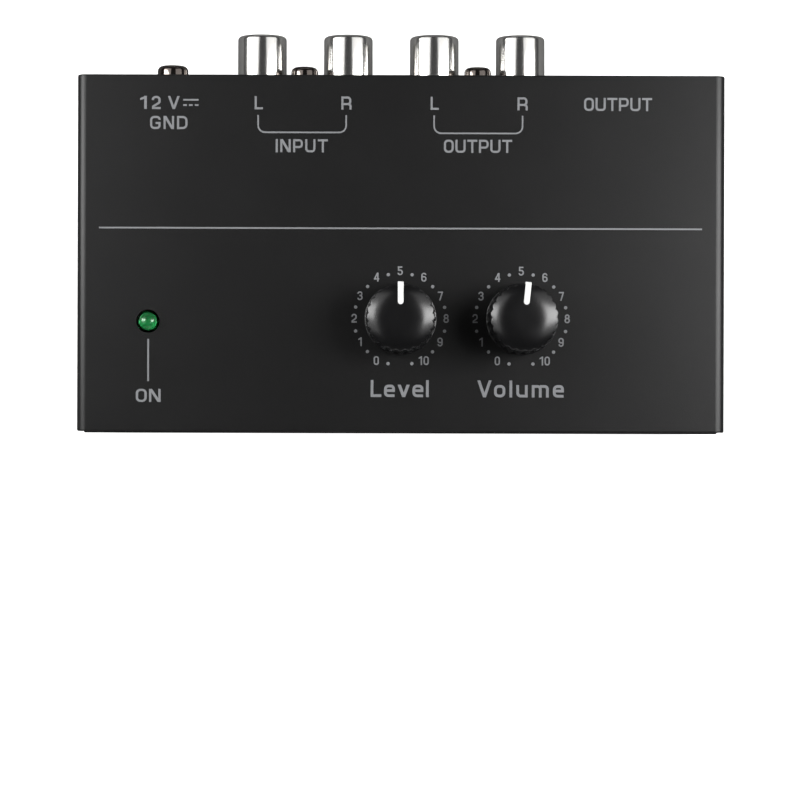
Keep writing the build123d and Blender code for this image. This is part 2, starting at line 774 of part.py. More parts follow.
dials = {"level": (level_x, 0.0), "volume": (volume_x, volume_turn)}
flute_lean = degrees(atan2(wall_foot_radius - wall_top_radius, z_wall_top - z_wall_foot))
flute_axis = (wall_foot_radius + wall_top_radius) / 2 + flute_radius - flute_depth

for name, (x, turn) in dials.items():
    axis = Axis((x, dial_y, 0), (0, 0, 1))
    plane = dial_plane(x, turn)
    top_view = Plane(origin=(x, dial_y, z_knob), x_dir=plane.x_dir, z_dir=(0, 0, 1))

    with BuildPart() as pot_body:
        with BuildSketch(Plane.XY.offset(z_board_top)):
            with Locations((x, dial_y)):
                RectangleRounded(pot_width, pot_length, moulded_corner)
        extrude(amount=pot_height)
        with BuildSketch(Plane.XY.offset(z_board_top + rotor_floor)):
            with Locations((x, dial_y)):
                Circle(rotor_radius + rotor_room)
        extrude(amount=rotor_height + 2 * rotor_room, mode=Mode.SUBTRACT)
        with BuildSketch(Plane.XY.offset(z_board_top + rotor_floor)):
            with Locations((x, dial_y)):
                Circle(shaft_radius + running_slack)
        extrude(amount=pot_height, mode=Mode.SUBTRACT)
    keep(pot_body, f"{name}_pot_body")

    with BuildPart() as bushing:
        with BuildSketch(Plane.XY.offset(z_pot_top)):
            with Locations((x, dial_y)):
                RectangleRounded(pot_width, pot_length, moulded_corner)
        extrude(amount=bushing_flange)
        with BuildSketch(Plane.XY.offset(z_pot_top + bushing_flange)):
            with Locations((x, dial_y)):
                Circle(bushing_radius)
        extrude(amount=bushing_height)
        chamfer(bushing.edges().filter_by(GeomType.CIRCLE).sort_by(Axis.Z)[-1], turned_edge)
        with BuildSketch(Plane.XY.offset(z_pot_top)):
            with Locations((x, dial_y)):
                Circle(shaft_radius + running_slack)
        extrude(amount=bushing_flange + bushing_height, mode=Mode.SUBTRACT)
    keep(bushing, f"{name}_pot_bushing")

    with BuildPart() as shaft:
        z_rotor = z_board_top + rotor_floor + rotor_room
        with BuildSketch(Plane.XY.offset(z_rotor)):
            with Locations((x, dial_y)):
                Circle(rotor_radius)
        extrude(amount=rotor_height)
        with BuildSketch(Plane.XY.offset(z_rotor)):
            with Locations((x, dial_y)):
                Circle(shaft_radius)
        extrude(amount=z_shaft_top - z_rotor)
        chamfer(shaft.edges().filter_by(GeomType.CIRCLE).sort_by(Axis.Z)[-1], turned_edge)
        with BuildSketch(top_view.offset(z_shaft_top - z_knob)):
            with Locations((-shaft_radius, 0)):
                Rectangle(2 * shaft_flat_depth, 2 * shaft_radius)
        extrude(amount=-(z_shaft_top - z_knob + shaft_flat_below), mode=Mode.SUBTRACT)
    keep(shaft, f"{name}_shaft")

    with BuildPart() as pointer:
        outside = half_knob(plane, pointer_stand, pointer_reach, pointer_round)
        extrude(outside, amount=pointer_width / 2, both=True)
        inside = half_knob(plane, -pointer_depth, skirt_radius - pointer_depth)
        extrude(inside, amount=pointer_width, both=True, mode=Mode.SUBTRACT)
        with BuildSketch(top_view):
            with Locations(((pointer_start + pointer_width / 2 + 2 * skirt_radius) / 2, 0)):
                Rectangle(2 * skirt_radius - pointer_start - pointer_width / 2, pointer_width)
            with Locations((pointer_start + pointer_width / 2, 0)):
                Circle(pointer_width / 2)
        extrude(amount=knob_height + 2 * pointer_stand, mode=Mode.INTERSECT)
    keep(pointer, f"{name}_pointer")

    with BuildPart() as knob:
        revolve(half_knob(plane, 0, skirt_radius), axis=axis)
        with Locations(Plane(origin=(x, dial_y, (z_wall_foot + z_knob_top) / 2), x_dir=plane.x_dir)):
            with PolarLocations(flute_axis, flute_count, start_angle=180 / flute_count):
                Cylinder(flute_radius, z_knob_top - z_wall_foot, rotation=(0, -flute_lean, 0),
                         mode=Mode.SUBTRACT)
        add(pointer.part, mode=Mode.SUBTRACT)
        # Moulded hollow round the hub, and the bore with the shaft's flat
        with BuildSketch(top_view):
            Circle(wall_top_radius - knob_wall)
            Circle(hub_radius, mode=Mode.SUBTRACT)
        extrude(amount=skirt_room, mode=Mode.SUBTRACT)
        with BuildSketch(top_view):
            Circle(shaft_radius + seat_slack)
            with Locations((-shaft_radius - seat_slack, 0)):
                Rectangle(2 * shaft_flat_depth, 3 * shaft_radius, mode=Mode.SUBTRACT)
        extrude(amount=knob_bore_depth, mode=Mode.SUBTRACT)
    keep(knob, f"{name}_knob")

# ------------------------------------------------------------------- power lamp
lamp_axis = Axis((lamp_x, lamp_y, 0), (0, 0, 1))
with BuildPart() as power_led:
    with BuildSketch(Plane(origin=(lamp_x, lamp_y, 0), x_dir=(1, 0, 0), z_dir=(0, -1, 0))):
        with BuildLine():
            Polyline(
                (0, z_lamp_foot),
                (lamp_flange, z_lamp_foot),
                (lamp_flange, z_lamp_foot + lamp_flange_height),
                (lamp_radius, z_lamp_foot + lamp_flange_height),
                (lamp_radius, z_lamp_top - lamp_radius),
            )
            RadiusArc((lamp_radius, z_lamp_top - lamp_radius), (0, z_lamp_top), -lamp_radius)
            Line((0, z_lamp_top), (0, z_lamp_foot))
        make_face()
    revolve(axis=lamp_axis)
keep(power_led, "power_led")

with BuildPart() as led_spacer:
    with BuildSketch(Plane.XY.offset(z_board_top)):
        with Locations((lamp_x, lamp_y)):
            Circle(spacer_radius)
            SlotOverall(lead_pitch + 3 * lead_thick, 2 * lead_thick, mode=Mode.SUBTRACT)
    extrude(amount=z_lamp_foot - z_board_top)
keep(led_spacer, "led_spacer")

with BuildPart() as led_leads:
    with BuildSketch(Plane.XY.offset(z_board_top)):
        with Locations((lamp_x, lamp_y)):
            with GridLocations(lead_pitch, 1, 2, 1):
                Rectangle(lead_thick, lead_thick)
    extrude(amount=z_lamp_foot - z_board_top)
keep(led_leads, "led_leads")

# ------------------------------------------------- components on the circuit board
row_back = y_block_back - row_gap
row_middle = row_back - row_pitch
row_front = dial_y
first_x = sockets["input_left"]
op_amp_x = level_x - pot_width / 2 - op_amp_gap - op_amp_box[0] / 2
first_resistor_x = op_amp_x - op_amp_box[0] / 2 - resistor_gap - resistor_body[0]


def cans(places, radius, height):
    """Add upright capacitor cans with a rolled top edge, standing on the board."""
    with BuildSketch(Plane.XY.offset(z_board_top)) as cases:
        with Locations(*places):
            Circle(radius)
    extrude(cases.sketch, amount=height)
    chamfer(edges(Select.LAST).filter_by(GeomType.CIRCLE).group_by(Axis.Z)[-1], can_edge)


def boxes(places, length, width, height):
    """Add moulded boxes with softened top edges, standing on the board."""
    with BuildSketch(Plane.XY.offset(z_board_top)) as cases:
        with Locations(*places):
            Rectangle(length, width)
    extrude(cases.sketch, amount=height)
    chamfer(edges(Select.LAST).group_by(Axis.Z)[-1], box_edge)


def axial(places, body_size, wire_size, lift):
    """Add lying bodies along Y, their wires bent down to the board at each end."""
    body_radius, body_length = body_size
    wire_half, wire_length = wire_size
    for x, y in places:
        with BuildSketch(Plane.XZ.offset(-y - body_length / 2)) as body:
            with Locations((x, z_board_top + lift)):
                Circle(body_radius)
        extrude(body.sketch, amount=body_length)
        with BuildSketch(Plane.XZ.offset(-y - wire_length / 2)) as wire:
            with Locations((x, z_board_top + lift)):
                Rectangle(2 * wire_half, 2 * wire_half)
        extrude(wire.sketch, amount=wire_length)
        with BuildSketch(Plane.XY.offset(z_board_top)) as legs:
            with Locations((x, y + wire_length / 2), (x, y - wire_length / 2)):
                Rectangle(2 * wire_half, 2 * wire_half)
        extrude(legs.sketch, amount=lift + wire_half)


with BuildPart() as power_capacitors:
    power_can_x = inlet_x + power_can_offset
    y_power_can = row_back - power_can_start
    cans([(power_can_x, y_power_can), (power_can_x, y_power_can - power_can_pitch)], *power_can)
keep(power_capacitors, "power_capacitors")

with BuildPart() as coupling_capacitors:
    coupling_x = [first_x + coupling_offset + component_pitch * i for i in range(component_count)]
    cans([(x, row_back) for x in coupling_x], *coupling_can)
keep(coupling_capacitors, "coupling_capacitors")

with BuildPart() as film_capacitors:
    film_x = [first_x + film_offset + component_pitch * i for i in range(component_count)]
    boxes([(x, row_middle) for x in film_x], *film_box)
keep(film_capacitors, "film_capacitors")

with BuildPart() as op_amps:
    boxes([(op_amp_x, row_front), (level_x + dial_pitch / 2, row_front)], *op_amp_box)
keep(op_amps, "op_amps")

with BuildPart() as voltage_regulator:
    regulator_x = inlet_x + regulator_offset
    with BuildSketch(Plane.XY.offset(z_board_top + regulator_lift)):
        with Locations((regulator_x, row_middle)):
            Circle(regulator_radius)
            with Locations((0, regulator_radius + regulator_flat)):
                Rectangle(2 * regulator_radius, 2 * regulator_radius, mode=Mode.SUBTRACT)
    extrude(amount=regulator_height)
    with BuildSketch(Plane.XY.offset(z_board_top)):
        with Locations((regulator_x, row_middle - regulator_setback)):
            with GridLocations(regulator_pitch, 1, 3, 1):
                Rectangle(regulator_leg, regulator_leg)
    extrude(amount=regulator_lift)
keep(voltage_regulator, "voltage_regulator")

with BuildPart() as resistors:
    resistor_x = [first_resistor_x - resistor_pitch * i for i in range(resistor_count)]
    places = [(x, row_front - resistor_forward) for x in resistor_x]
    axial(places, resistor_body, resistor_wire, resistor_lift)
keep(resistors, "resistors")

with BuildPart() as rectifier_diode:
    axial([(inlet_x - diode_offset, row_middle)], diode_body, diode_wire, diode_lift)
keep(rectifier_diode, "rectifier_diode")
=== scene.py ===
# %% [markdown]
# # A phono preamp, from its bare frame to its finished look
#
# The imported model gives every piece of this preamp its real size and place. This lesson leaves those
# pieces where they are and gives each one the finish of its real material. It then adds what a drawing
# of the sheet metal leaves out: the printed legends, knobs with rounded flutes, cross recesses in the
# screws, and a lamp whose clear casting shows the cup inside it.

import math

import bmesh
import bpy
import numpy as np
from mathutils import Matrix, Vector


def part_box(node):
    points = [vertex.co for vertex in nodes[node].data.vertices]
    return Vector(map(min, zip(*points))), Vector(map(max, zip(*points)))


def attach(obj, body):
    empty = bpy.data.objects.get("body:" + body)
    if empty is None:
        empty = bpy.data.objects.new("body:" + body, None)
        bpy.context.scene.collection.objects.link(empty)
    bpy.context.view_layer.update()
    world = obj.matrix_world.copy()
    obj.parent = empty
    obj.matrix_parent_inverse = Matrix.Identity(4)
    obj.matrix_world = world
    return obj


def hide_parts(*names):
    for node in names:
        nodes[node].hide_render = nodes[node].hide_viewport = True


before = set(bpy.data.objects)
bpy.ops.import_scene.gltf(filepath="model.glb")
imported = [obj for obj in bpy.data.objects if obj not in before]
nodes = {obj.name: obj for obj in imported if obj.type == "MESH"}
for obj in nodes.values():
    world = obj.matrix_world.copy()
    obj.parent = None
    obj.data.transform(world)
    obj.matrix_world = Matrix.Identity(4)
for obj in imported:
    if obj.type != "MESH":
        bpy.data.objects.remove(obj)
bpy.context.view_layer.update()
MM = 0.001

# %% [markdown]
# ## Where things are
#
# Blender measures in metres, but a small product is easier to think about in millimetres. So every
# length below is in millimetres, and one helper turns a node's box into millimetres. New pieces take
# their places from those boxes, and not from typed numbers, so that they follow the frame.


# %% Measure the frame
def box_mm(node):
    """Lowest and highest corner of a CAD node, in millimetres."""
    return [np.array(corner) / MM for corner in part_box(node)]


cover_low, cover_high = box_mm("top_cover")
z_panel = cover_high[2]
knob_boxes = {name: box_mm(f"{name}_knob") for name in ("level", "volume")}
dial_places = {name: (low + high)[:2] / 2 for name, (low, high) in knob_boxes.items()}
dial_places["volume"][1] = dial_places["level"][1]  # a turned knob's box isn't quite even about its shaft
lamp_low, lamp_high = box_mm("power_led")
lamp_place = ((lamp_low + lamp_high) / 2)[:2]
print("cover's top at", round(z_panel, 2), "and lamp at", lamp_place.round(2).tolist())
print("dials at", {name: place.round(2).tolist() for name, place in dial_places.items()})

# %% [markdown]
# ## The camera
#
# Such a box is shown from straight above through a long lens, so that the legends read flat and the knobs
# barely lean outwards. The camera hangs about 42 cm over the panel, above its front half, and is turned
# by a fraction of a degree.


# %% Hang the camera
def camera_above(x, y, z, lens, turn):
    """A camera that looks straight down from (x, y, z), in millimetres, turned by so many radians."""
    data = bpy.data.cameras.new("camera")
    data.lens, data.sensor_width = lens, 36
    data.clip_start, data.clip_end = 0.01, 10
    camera = bpy.data.objects.new("camera", data)
    camera.location = np.array([x, y, z]) * MM
    camera.rotation_euler = (0, 0, turn)
    bpy.context.scene.collection.objects.link(camera)
    bpy.context.scene.camera = camera
    return camera


camera = camera_above(x=-0.06, y=-27.42, z=458.5, lens=119.32, turn=0.003)
print(f"camera {camera.location.z / MM - z_panel:.0f} mm over the panel, lens {camera.data.lens:.0f} mm")

# %% [markdown]
# ## Light from two softboxes
#
# Black paint and chrome show what stands round them. Two softboxes stand close to the case, left and
# right, and reach from just over the table to high over it. They put a pale lobe on each side of a knob
# and a white band on each side of a round barrel, and their nearness makes both ends of the panel paler
# than its middle. What lies straight above stays dark, so the middle of each barrel and the top of each
# knob stay dark too. A real softbox is brightest in front of its lamp, so each one is two area lights in
# one plane: a wide dim one and a narrow bright one. Two low strips in front and behind only lighten the
# upright walls. An area light's power spreads over its area and over a half sphere, so the power for a
# wanted brightness is brightness times area times pi.


# %% Place the lights
def softbox(name, azimuth, top, bottom, width, brightness, distance=230, aim=(0, -14, 45)):
    """An area light that faces a point and covers it from a top to a bottom angle, both in degrees off the
    vertical. Its middle stands at the mean angle, and its height is twice the distance times the tangent
    of half the difference."""
    turn, tilt = math.radians(azimuth), math.radians((top + bottom) / 2)
    towards = Vector((math.cos(turn) * math.sin(tilt), math.sin(turn) * math.sin(tilt), math.cos(tilt)))
    height = 2 * distance * math.tan(math.radians(bottom - top) / 2)
    data = bpy.data.lights.new(name, "AREA")
    data.shape, data.size, data.size_y = "RECTANGLE", width * MM, height * MM
    data.energy = brightness * math.pi * data.size * data.size_y
    light = bpy.data.objects.new(name, data)
    light.location = (Vector(aim) + towards * distance) * MM
    light.rotation_euler = towards.to_track_quat("Z", "Y").to_euler()
    light.visible_camera = False
    bpy.context.scene.collection.objects.link(light)
    print(f"{name}: {width} x {height:.0f} mm, {distance} mm away, {data.energy:.2f} W")


softbox("softbox_right", 14, 24, 78, width=280, brightness=1.05)
softbox("softbox_right_core", 7, 27, 74, width=88, brightness=12.5)
softbox("softbox_left", 165, 25, 79, width=280, brightness=1.4)
softbox("softbox_left_core", 166, 38, 78, width=88, brightness=10)
softbox("fill_front", 270, 74, 88, width=420, brightness=1.6, distance=420)
softbox("fill_back", 90, 76, 88, width=420, brightness=0.55, distance=420)

world = bpy.data.worlds.new("studio_air")
world.use_nodes = True
world.node_tree.nodes["Background"].inputs["Color"].default_value = (0.055, 0.055, 0.056, 1)
bpy.context.scene.world = world
bpy.context.scene.view_settings.view_transform = "Standard"

# %% [markdown]
# ## Maths on sockets
#
# A finish is a Principled shader and a few numbers that vary over the surface. Typing those numbers as
# nodes is slow to read, so a small class wraps a socket and lets Python's own signs add the Math nodes.
# The reflected signs are there too, so that a number may stand on the left of a wire.


# %% Wrap sockets
def plug(tree, socket, value):
    """Gives a socket a value, or a link where the value is a wire."""
    if isinstance(value, Wire):
        tree.links.new(value.socket, socket)
    else:
        socket.default_value = value


class Wire:
    """A node's output that can be added, taken away or multiplied: each sign adds the Math node for it."""

    def __init__(self, tree, socket):
        self.tree, self.socket = tree, socket

    def _maths(self, operation, first, second):
        node = self.tree.nodes.new("ShaderNodeMath")
        node.operation = operation
        plug(self.tree, node.inputs[0], first)
        plug(self.tree, node.inputs[1], second)
        return Wire(self.tree, node.outputs[0])

    def __add__(self, other):
        return self._maths("ADD", self, other)

    def __sub__(self, other):
        return self._maths("SUBTRACT", self, other)

    def __rsub__(self, other):
        return self._maths("SUBTRACT", other, self)

    def __mul__(self, other):
        return self._maths("MULTIPLY", self, other)

    __radd__, __rmul__ = __add__, __mul__


print("signs that work on a wire: + - *")

# %% [markdown]
# A second class holds one material. It adds any other node through one method, and offers what every
# finish here needs: a noise of a given grain size in millimetres, a colour that varies by a share of
# itself, and a bump of a given height. The noise reads Object coordinates, so its grain keeps its size
# on small and large pieces alike.


# %% Wrap materials
class Finish:
    """One material: its Principled shader, and the nodes that vary what the shader is given."""

    def __init__(self, name, colour, roughness, metallic=0.0, **fixed):
        self.material = bpy.data.materials.new(name)
        self.material.use_nodes = True
        self.tree = self.material.node_tree
        self.shader = self.tree.nodes["Principled BSDF"]
        self.colour = colour
        self.set("Base Color", (*colour, 1))
        self.set("Roughness", roughness)
        self.set("Metallic", metallic)
        for key, value in fixed.items():
            self.set(key.replace("_", " "), value)
        self.place = self.node("TexCoord", output="Object")
        print(f"finish {name}: colour {colour}, roughness {roughness}")

    def node(self, kind, settings=(), inputs=(), output=0):
        """Adds a node of a type, with its settings first and then its sockets' values or links."""
        made = self.tree.nodes.new("ShaderNode" + kind)
        for key, value in dict(settings).items():
            setattr(made, key, value)
        for key, value in dict(inputs).items():
            plug(self.tree, made.inputs[key], value)
        return Wire(self.tree, made.outputs[output])

    def set(self, socket, value):
        """Gives one of the shader's sockets a value or a link."""
        plug(self.tree, self.shader.inputs[socket], value)

    def grain(self, size, detail=2.0):
        """Smooth noise from 0 to 1 whose features are so many millimetres across."""
        return self.node("TexNoise", (), {"Vector": self.place, "Scale": 1 / (size * MM), "Detail": detail})

    def shade(self, amount, wire):
        """Makes the base colour lighter and darker by a share of itself, as a wire goes from 0 to 1."""
        low, high = ([c * (1 + change) for c in self.colour] for change in (-amount, amount))
        mix = self.node("Mix", {"data_type": "RGBA"}, {0: wire, 6: (*low, 1), 7: (*high, 1)}, output=2)
        self.set("Base Color", mix)

    def bump(self, height, depth):
        """Raises the surface by a wire from 0 to 1, so many millimetres high."""
        self.set("Normal", self.node("Bump", (), {"Height": height, "Distance": depth * MM}))


# %% [markdown]
# ## A light table
#
# A product shown on pure white stands on a light table: a milky sheet that glows a little, so that only
# a soft shadow is left. The sheet and the pale wall round it are stage pieces and not part of the
# product. Both are hidden from glossy rays, as black cards hide them in a real studio: otherwise the lower
# edge of each bright barrel would mirror the sheet and melt into it. A small dark grey card just under the
# sheet is seen by glossy rays alone, so that metal that faces down mirrors grey and not black. The wall is
# seen by the camera alone.


# %% Lay the table and put up the wall
def stage_piece(name, points, faces, glow, albedo):
    """A stage mesh from millimetre points, with a milky material that glows by itself."""
    milky = Finish(f"{name}_face", (albedo, albedo, albedo), 0.9)
    milky.shade(0.01, milky.grain(6, 4))
    milky.set("Emission Color", (1, 1, 0.995, 1))
    milky.set("Emission Strength", glow)
    mesh = bpy.data.meshes.new(name)
    mesh.from_pydata((np.array(points) * MM).tolist(), [], faces)
    mesh.materials.append(milky.material)
    made = bpy.data.objects.new(name, mesh)
    made.visible_glossy = made.visible_shadow = False
    bpy.context.scene.collection.objects.link(made)
    return made


half = 3000.0
corners = [(-half, -half), (half, -half), (half, half), (-half, half)]
flat = [(0, 1, 2, 3)]
stage_piece("light_table", [(x, y, 0) for x, y in corners], flat, glow=0.97, albedo=0.5)
card = stage_piece("grey_card", [(x / 8, y / 8, -0.5) for x, y in corners], flat, glow=0.0, albedo=0.09)
card.visible_glossy, card.visible_camera, card.visible_diffuse = True, False, False
wall = stage_piece(
    "pale_wall",
    [(x, y, z) for z in (-half, half) for x, y in corners],
    [(0, 4, 5, 1), (1, 5, 6, 2), (2, 6, 7, 3), (3, 7, 4, 0), (0, 1, 2, 3), (4, 7, 6, 5)],
    glow=0.80,
    albedo=0.0,
)
wall.visible_diffuse = wall.visible_transmission = False

# %% [markdown]
# ## Surfaces from arrays
#
# Each new piece is a grid of points: a profile that is spun or carried, worked out as one array. One
# helper joins the grids of a piece, welds the points that meet at each grid's own poles and seams, turns
# the faces outwards and marks edges sharper than an angle. Points of two grids are never welded, so that
# strokes may cross without sharing a wall.


# %% Turn grids into pieces
WELD_GAP = 2e-7  # in metres, far below any detail
WIDEST_RING = 400  # sides of the largest open ring that is closed with one face


def grid_faces(rows, columns, wrap_rows, wrap_columns):
    """Four-cornered faces between neighbouring points of a grid that is numbered row by row."""
    r, c = np.meshgrid(
        np.arange(rows if wrap_rows else rows - 1),
        np.arange(columns if wrap_columns else columns - 1),
        indexing="ij",
    )
    r, c = r.ravel(), c.ravel()
    below, right = (r + 1) % rows, (c + 1) % columns
    return np.stack([r * columns + c, r * columns + right, below * columns + right, below * columns + c], 1)


def piece(name, grids, body, finish, crease=35, replaces=()):
    """A mesh piece from grids of points in millimetres, each with whether its rows and columns close."""
    points, faces, starts = [], [], [0]
    for grid, wrap_rows, wrap_columns in grids:
        rows, columns = grid.shape[:2]
        points.append(grid.reshape(-1, 3) * MM)
        faces.append(grid_faces(rows, columns, wrap_rows, wrap_columns) + starts[-1])
        starts.append(starts[-1] + rows * columns)
    mesh = bpy.data.meshes.new(name)
    mesh.from_pydata(np.concatenate(points).tolist(), [], np.concatenate(faces).tolist())
    tidy = bmesh.new()
    tidy.from_mesh(mesh)
    tidy.verts.ensure_lookup_table()
    islands = [tidy.verts[start:end] for start, end in zip(starts, starts[1:])]
    for island in islands:
        bmesh.ops.remove_doubles(tidy, verts=island, dist=WELD_GAP)
    bmesh.ops.holes_fill(tidy, edges=tidy.edges, sides=WIDEST_RING)
    bmesh.ops.recalc_face_normals(tidy, faces=tidy.faces)
    tidy.to_mesh(mesh)
    tidy.free()
    mesh.shade_smooth()
    mesh.set_sharp_from_angle(angle=math.radians(crease))
    mesh.materials.append(finish.material)
    made = bpy.data.objects.new(name, mesh)
    bpy.context.scene.collection.objects.link(made)
    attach(made, body)
    if replaces:
        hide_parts(*replaces)
    print(f"{name}: {len(mesh.vertices)} points, {len(mesh.polygons)} faces")
    return made


# %% [markdown]
# Three more helpers serve nearly every piece: one turns a piece's own axes into the case's, one rounds the
# corners of a drawn line, and one spins a profile as a lathe does.


# %% Place, round and spin
def axes_at(origin, across, up):
    """A rule that carries a piece's own x, y and z to the case."""
    across, up = np.array(across, float), np.array(up, float)
    directions = np.stack([across, up, np.cross(across, up)])

    def carried(points):
        """Origin plus x times across, y times up and z times their cross product."""
        return np.asarray(origin, float) + points @ directions

    return carried


def rounded(corners, radii, steps=6, closed=False):
    """Points along a bent line whose corners are arcs. An arc leaves its corner's two sides one radius over
    the tangent of half the corner's angle away, and turns evenly about its centre between them."""
    p = np.asarray(corners, float)
    r = np.broadcast_to(np.asarray(radii, float), len(p)).copy()
    if not closed:
        r[[0, -1]] = 0
    before, after = np.roll(p, 1, 0) - p, np.roll(p, -1, 0) - p
    before /= np.linalg.norm(before, axis=1, keepdims=True)
    after /= np.linalg.norm(after, axis=1, keepdims=True)
    half = np.arccos(np.clip((before * after).sum(1), -1, 1)) / 2
    half = np.clip(half, 1e-4, math.pi / 2 - 1e-4)
    middle = before + after
    middle /= np.maximum(np.linalg.norm(middle, axis=1, keepdims=True), 1e-9)
    centre = p + middle * (r / np.sin(half))[:, None]
    reach = (r / np.tan(half))[:, None]
    start, end = p + before * reach - centre, p + after * reach - centre
    swing = (math.pi - 2 * half)[:, None, None]
    share = np.linspace(0, 1, steps + 1)[None, :, None]
    arc = np.sin((1 - share) * swing) * start[:, None] + np.sin(share * swing) * end[:, None]
    points = (centre[:, None] + arc / np.sin(swing)).reshape(-1, 2)
    far = np.linalg.norm(points - np.roll(points, 1, 0), axis=1) > 1e-6
    far[0] = far[0] or not closed
    return points[far]


def lathe(profile, angles, reshape=None):
    """A profile of (radius, height) spun about z: x = r cos a, y = r sin a, z = h. Radii may be reshaped
    by a rule of angle, radius and height."""
    a = np.linspace(0, 2 * math.pi, angles, endpoint=False)[None, :]
    r, h = np.asarray(profile, float).T[:, :, None]
    r, h = r + 0 * a, h + 0 * a
    if reshape:
        r, h = reshape(a, r, h)
    return np.stack([r * np.cos(a), r * np.sin(a), h], -1)


print("a unit ring from the lathe has", lathe([(1, 0)], 12).shape, "as its shape")


# %% [markdown]
# ## Powder-coated steel
#
# The case is steel under black powder coat: a fine, even satin grain that melts together in the oven. It
# has no grain direction, only small bumps of a tenth or two of a millimetre and a slow unevenness of
# gloss. Two noises do it, a fine one for the bumps and a broad one for the gloss.

# %% Paint the case
case_paint = Finish("black_powder_coat", (0.0042, 0.0042, 0.0043), 0.36, Specular_IOR_Level=0.29)
fine, broad = case_paint.grain(0.16, 2.5), case_paint.grain(9, 3)
case_paint.shade(0.45, fine)
case_paint.set("Roughness", 0.31 + fine * 0.06 + broad * 0.05)
case_paint.bump(fine + broad * 0.5, 0.009)

# %% [markdown]
# ## Metals
#
# The sockets' barrels are turned brass with bright nickel: nearly a mirror, with faint rings left by the
# tool. The screws by the sockets are steel with a dark, slightly brown oxide. Board screws and springs are
# plain zinc-plated steel or brass. All vary a little in gloss, as handled metal does.


# %% Make the metals
def metal(name, colour, roughness, smear=0.05, scratch=0.0015):
    """A metal whose gloss varies in broad smears, with fine marks all over."""
    finish = Finish(name, colour, roughness, metallic=1.0)
    smears, marks = finish.grain(3, 3), finish.grain(0.12, 2)
    finish.shade(0.06, smears)
    finish.set("Roughness", roughness + (smears - 0.5) * smear + marks * 0.03)
    finish.bump(marks, scratch)
    return finish


nickel = metal("bright_nickel", (0.70, 0.69, 0.67), 0.15, smear=0.04, scratch=0.0001)
bronze = metal("dark_bronze_oxide", (0.15, 0.13, 0.118), 0.07, smear=0.02, scratch=0.0001)
black_zinc = metal("black_zinc", (0.07, 0.07, 0.075), 0.30)
steel = metal("zinc_plated_steel", (0.62, 0.63, 0.66), 0.28)
brass = metal("brass", (0.72, 0.50, 0.22), 0.25)


# %% [markdown]
# ## Plastics, rubber and board
#
# Moulded plastic has a slight texture and never one even gloss. The knobs are harder and glossier than
# the housings. The feet are matt rubber. The circuit board is green lacquer over copper, where the
# tracks show as faint raised bands.


# %% Make the plastics
def plastic(name, colour, roughness, size=0.2, depth=0.003, **fixed):
    """A moulded plastic: fine texture, and gloss that wanders over a few millimetres."""
    finish = Finish(name, colour, roughness, **fixed)
    fine, slow = finish.grain(size, 2), finish.grain(2.5, 3)
    finish.shade(0.10, slow)
    finish.set("Roughness", roughness - 0.03 + fine * 0.04 + slow * 0.05)
    finish.bump(fine, depth)
    return finish


black_plastic = plastic("black_moulding", (0.018, 0.018, 0.019), 0.42)
knob_plastic = plastic("knob_black", (0.0025, 0.0025, 0.0027), 0.24, size=0.25, depth=0.0012)
white_plastic = plastic("white_moulding", (0.72, 0.71, 0.67), 0.38)
red_plastic = plastic("red_moulding", (0.52, 0.018, 0.016), 0.36)
pointer_plastic = plastic("pointer_white", (0.62, 0.62, 0.615), 0.40)
rubber = plastic("foot_rubber", (0.016, 0.016, 0.016), 0.75, size=0.4, depth=0.02)
can_sleeve = plastic("capacitor_sleeve", (0.015, 0.022, 0.045), 0.32)
film_red = plastic("film_capacitor_red", (0.35, 0.05, 0.02), 0.35)
resistor_blue = plastic("resistor_blue", (0.10, 0.22, 0.38), 0.40)
board = plastic("board_green", (0.010, 0.085, 0.032), 0.30, size=0.3)

# %% [markdown]
# ## Dress the CAD nodes
#
# Each node arrives with a plain material that is named after its slot in the record. One table says
# which finish stands for which slot, so no node can be forgotten.

# %% Give every node its finish
finishes = {
    "case_paint": case_paint,
    "black_screw": black_zinc,
    "bronze_screw": bronze,
    "steel": steel,
    "brass": brass,
    "nickel": nickel,
    "rubber": rubber,
    "board": board,
    "black_plastic": black_plastic,
    "white_plastic": white_plastic,
    "red_plastic": red_plastic,
    "knob_plastic": knob_plastic,
    "pointer_plastic": pointer_plastic,
    "green_lens": plastic("green_resin", (0.02, 0.30, 0.10), 0.08),
    "can_sleeve": can_sleeve,
    "film_red": film_red,
    "resistor_blue": resistor_blue,
}
for node in nodes.values():
    slot_name = node.data.materials[0].name.split(".")[0]
    node.data.materials[0] = finishes[slot_name].material
print(len(nodes), "nodes dressed")

# %% [markdown]
# ## Legends
#
# The legends are screen-printed in pale grey ink, a fiftieth of a millimetre thick. The capitals are of
# the square, wide kind that fills a rounded rectangle. Each is one pen stroke of even width along a bent
# line with rounded corners, so a letter is a few numbers and not a font. A slanted stroke is cut level at
# both ends, so it is given as two edges instead.

# %% Draw strokes
PEN = 0.16  # width of the capitals' pen, as a share of their height


def ribbon(corners, radii=0.0, pen=PEN, closed=False):
    """Left and right edges of a stroke: the middle line moved out by half a pen along the corner's bisector,
    which is the sum of both sides' normals over one plus their dot product."""
    line = rounded(corners, radii, 5, closed)
    ahead = np.roll(line, -1, 0) - line
    if not closed:
        ahead[-1] = ahead[-2]
    ahead /= np.linalg.norm(ahead, axis=1, keepdims=True)
    normal = np.stack([-ahead[:, 1], ahead[:, 0]], 1)
    last = np.roll(normal, 1, 0)
    if not closed:
        last[0] = normal[0]
    bisector = (normal + last) / (1 + (normal * last).sum(1, keepdims=True)) * pen / 2
    return line + bisector, line - bisector, closed


def slant(a, b, c, d):
    """A slanted stroke with level ends, from the edge a-b to the edge d-c."""
    return np.array([a, d], float), np.array([b, c], float), False


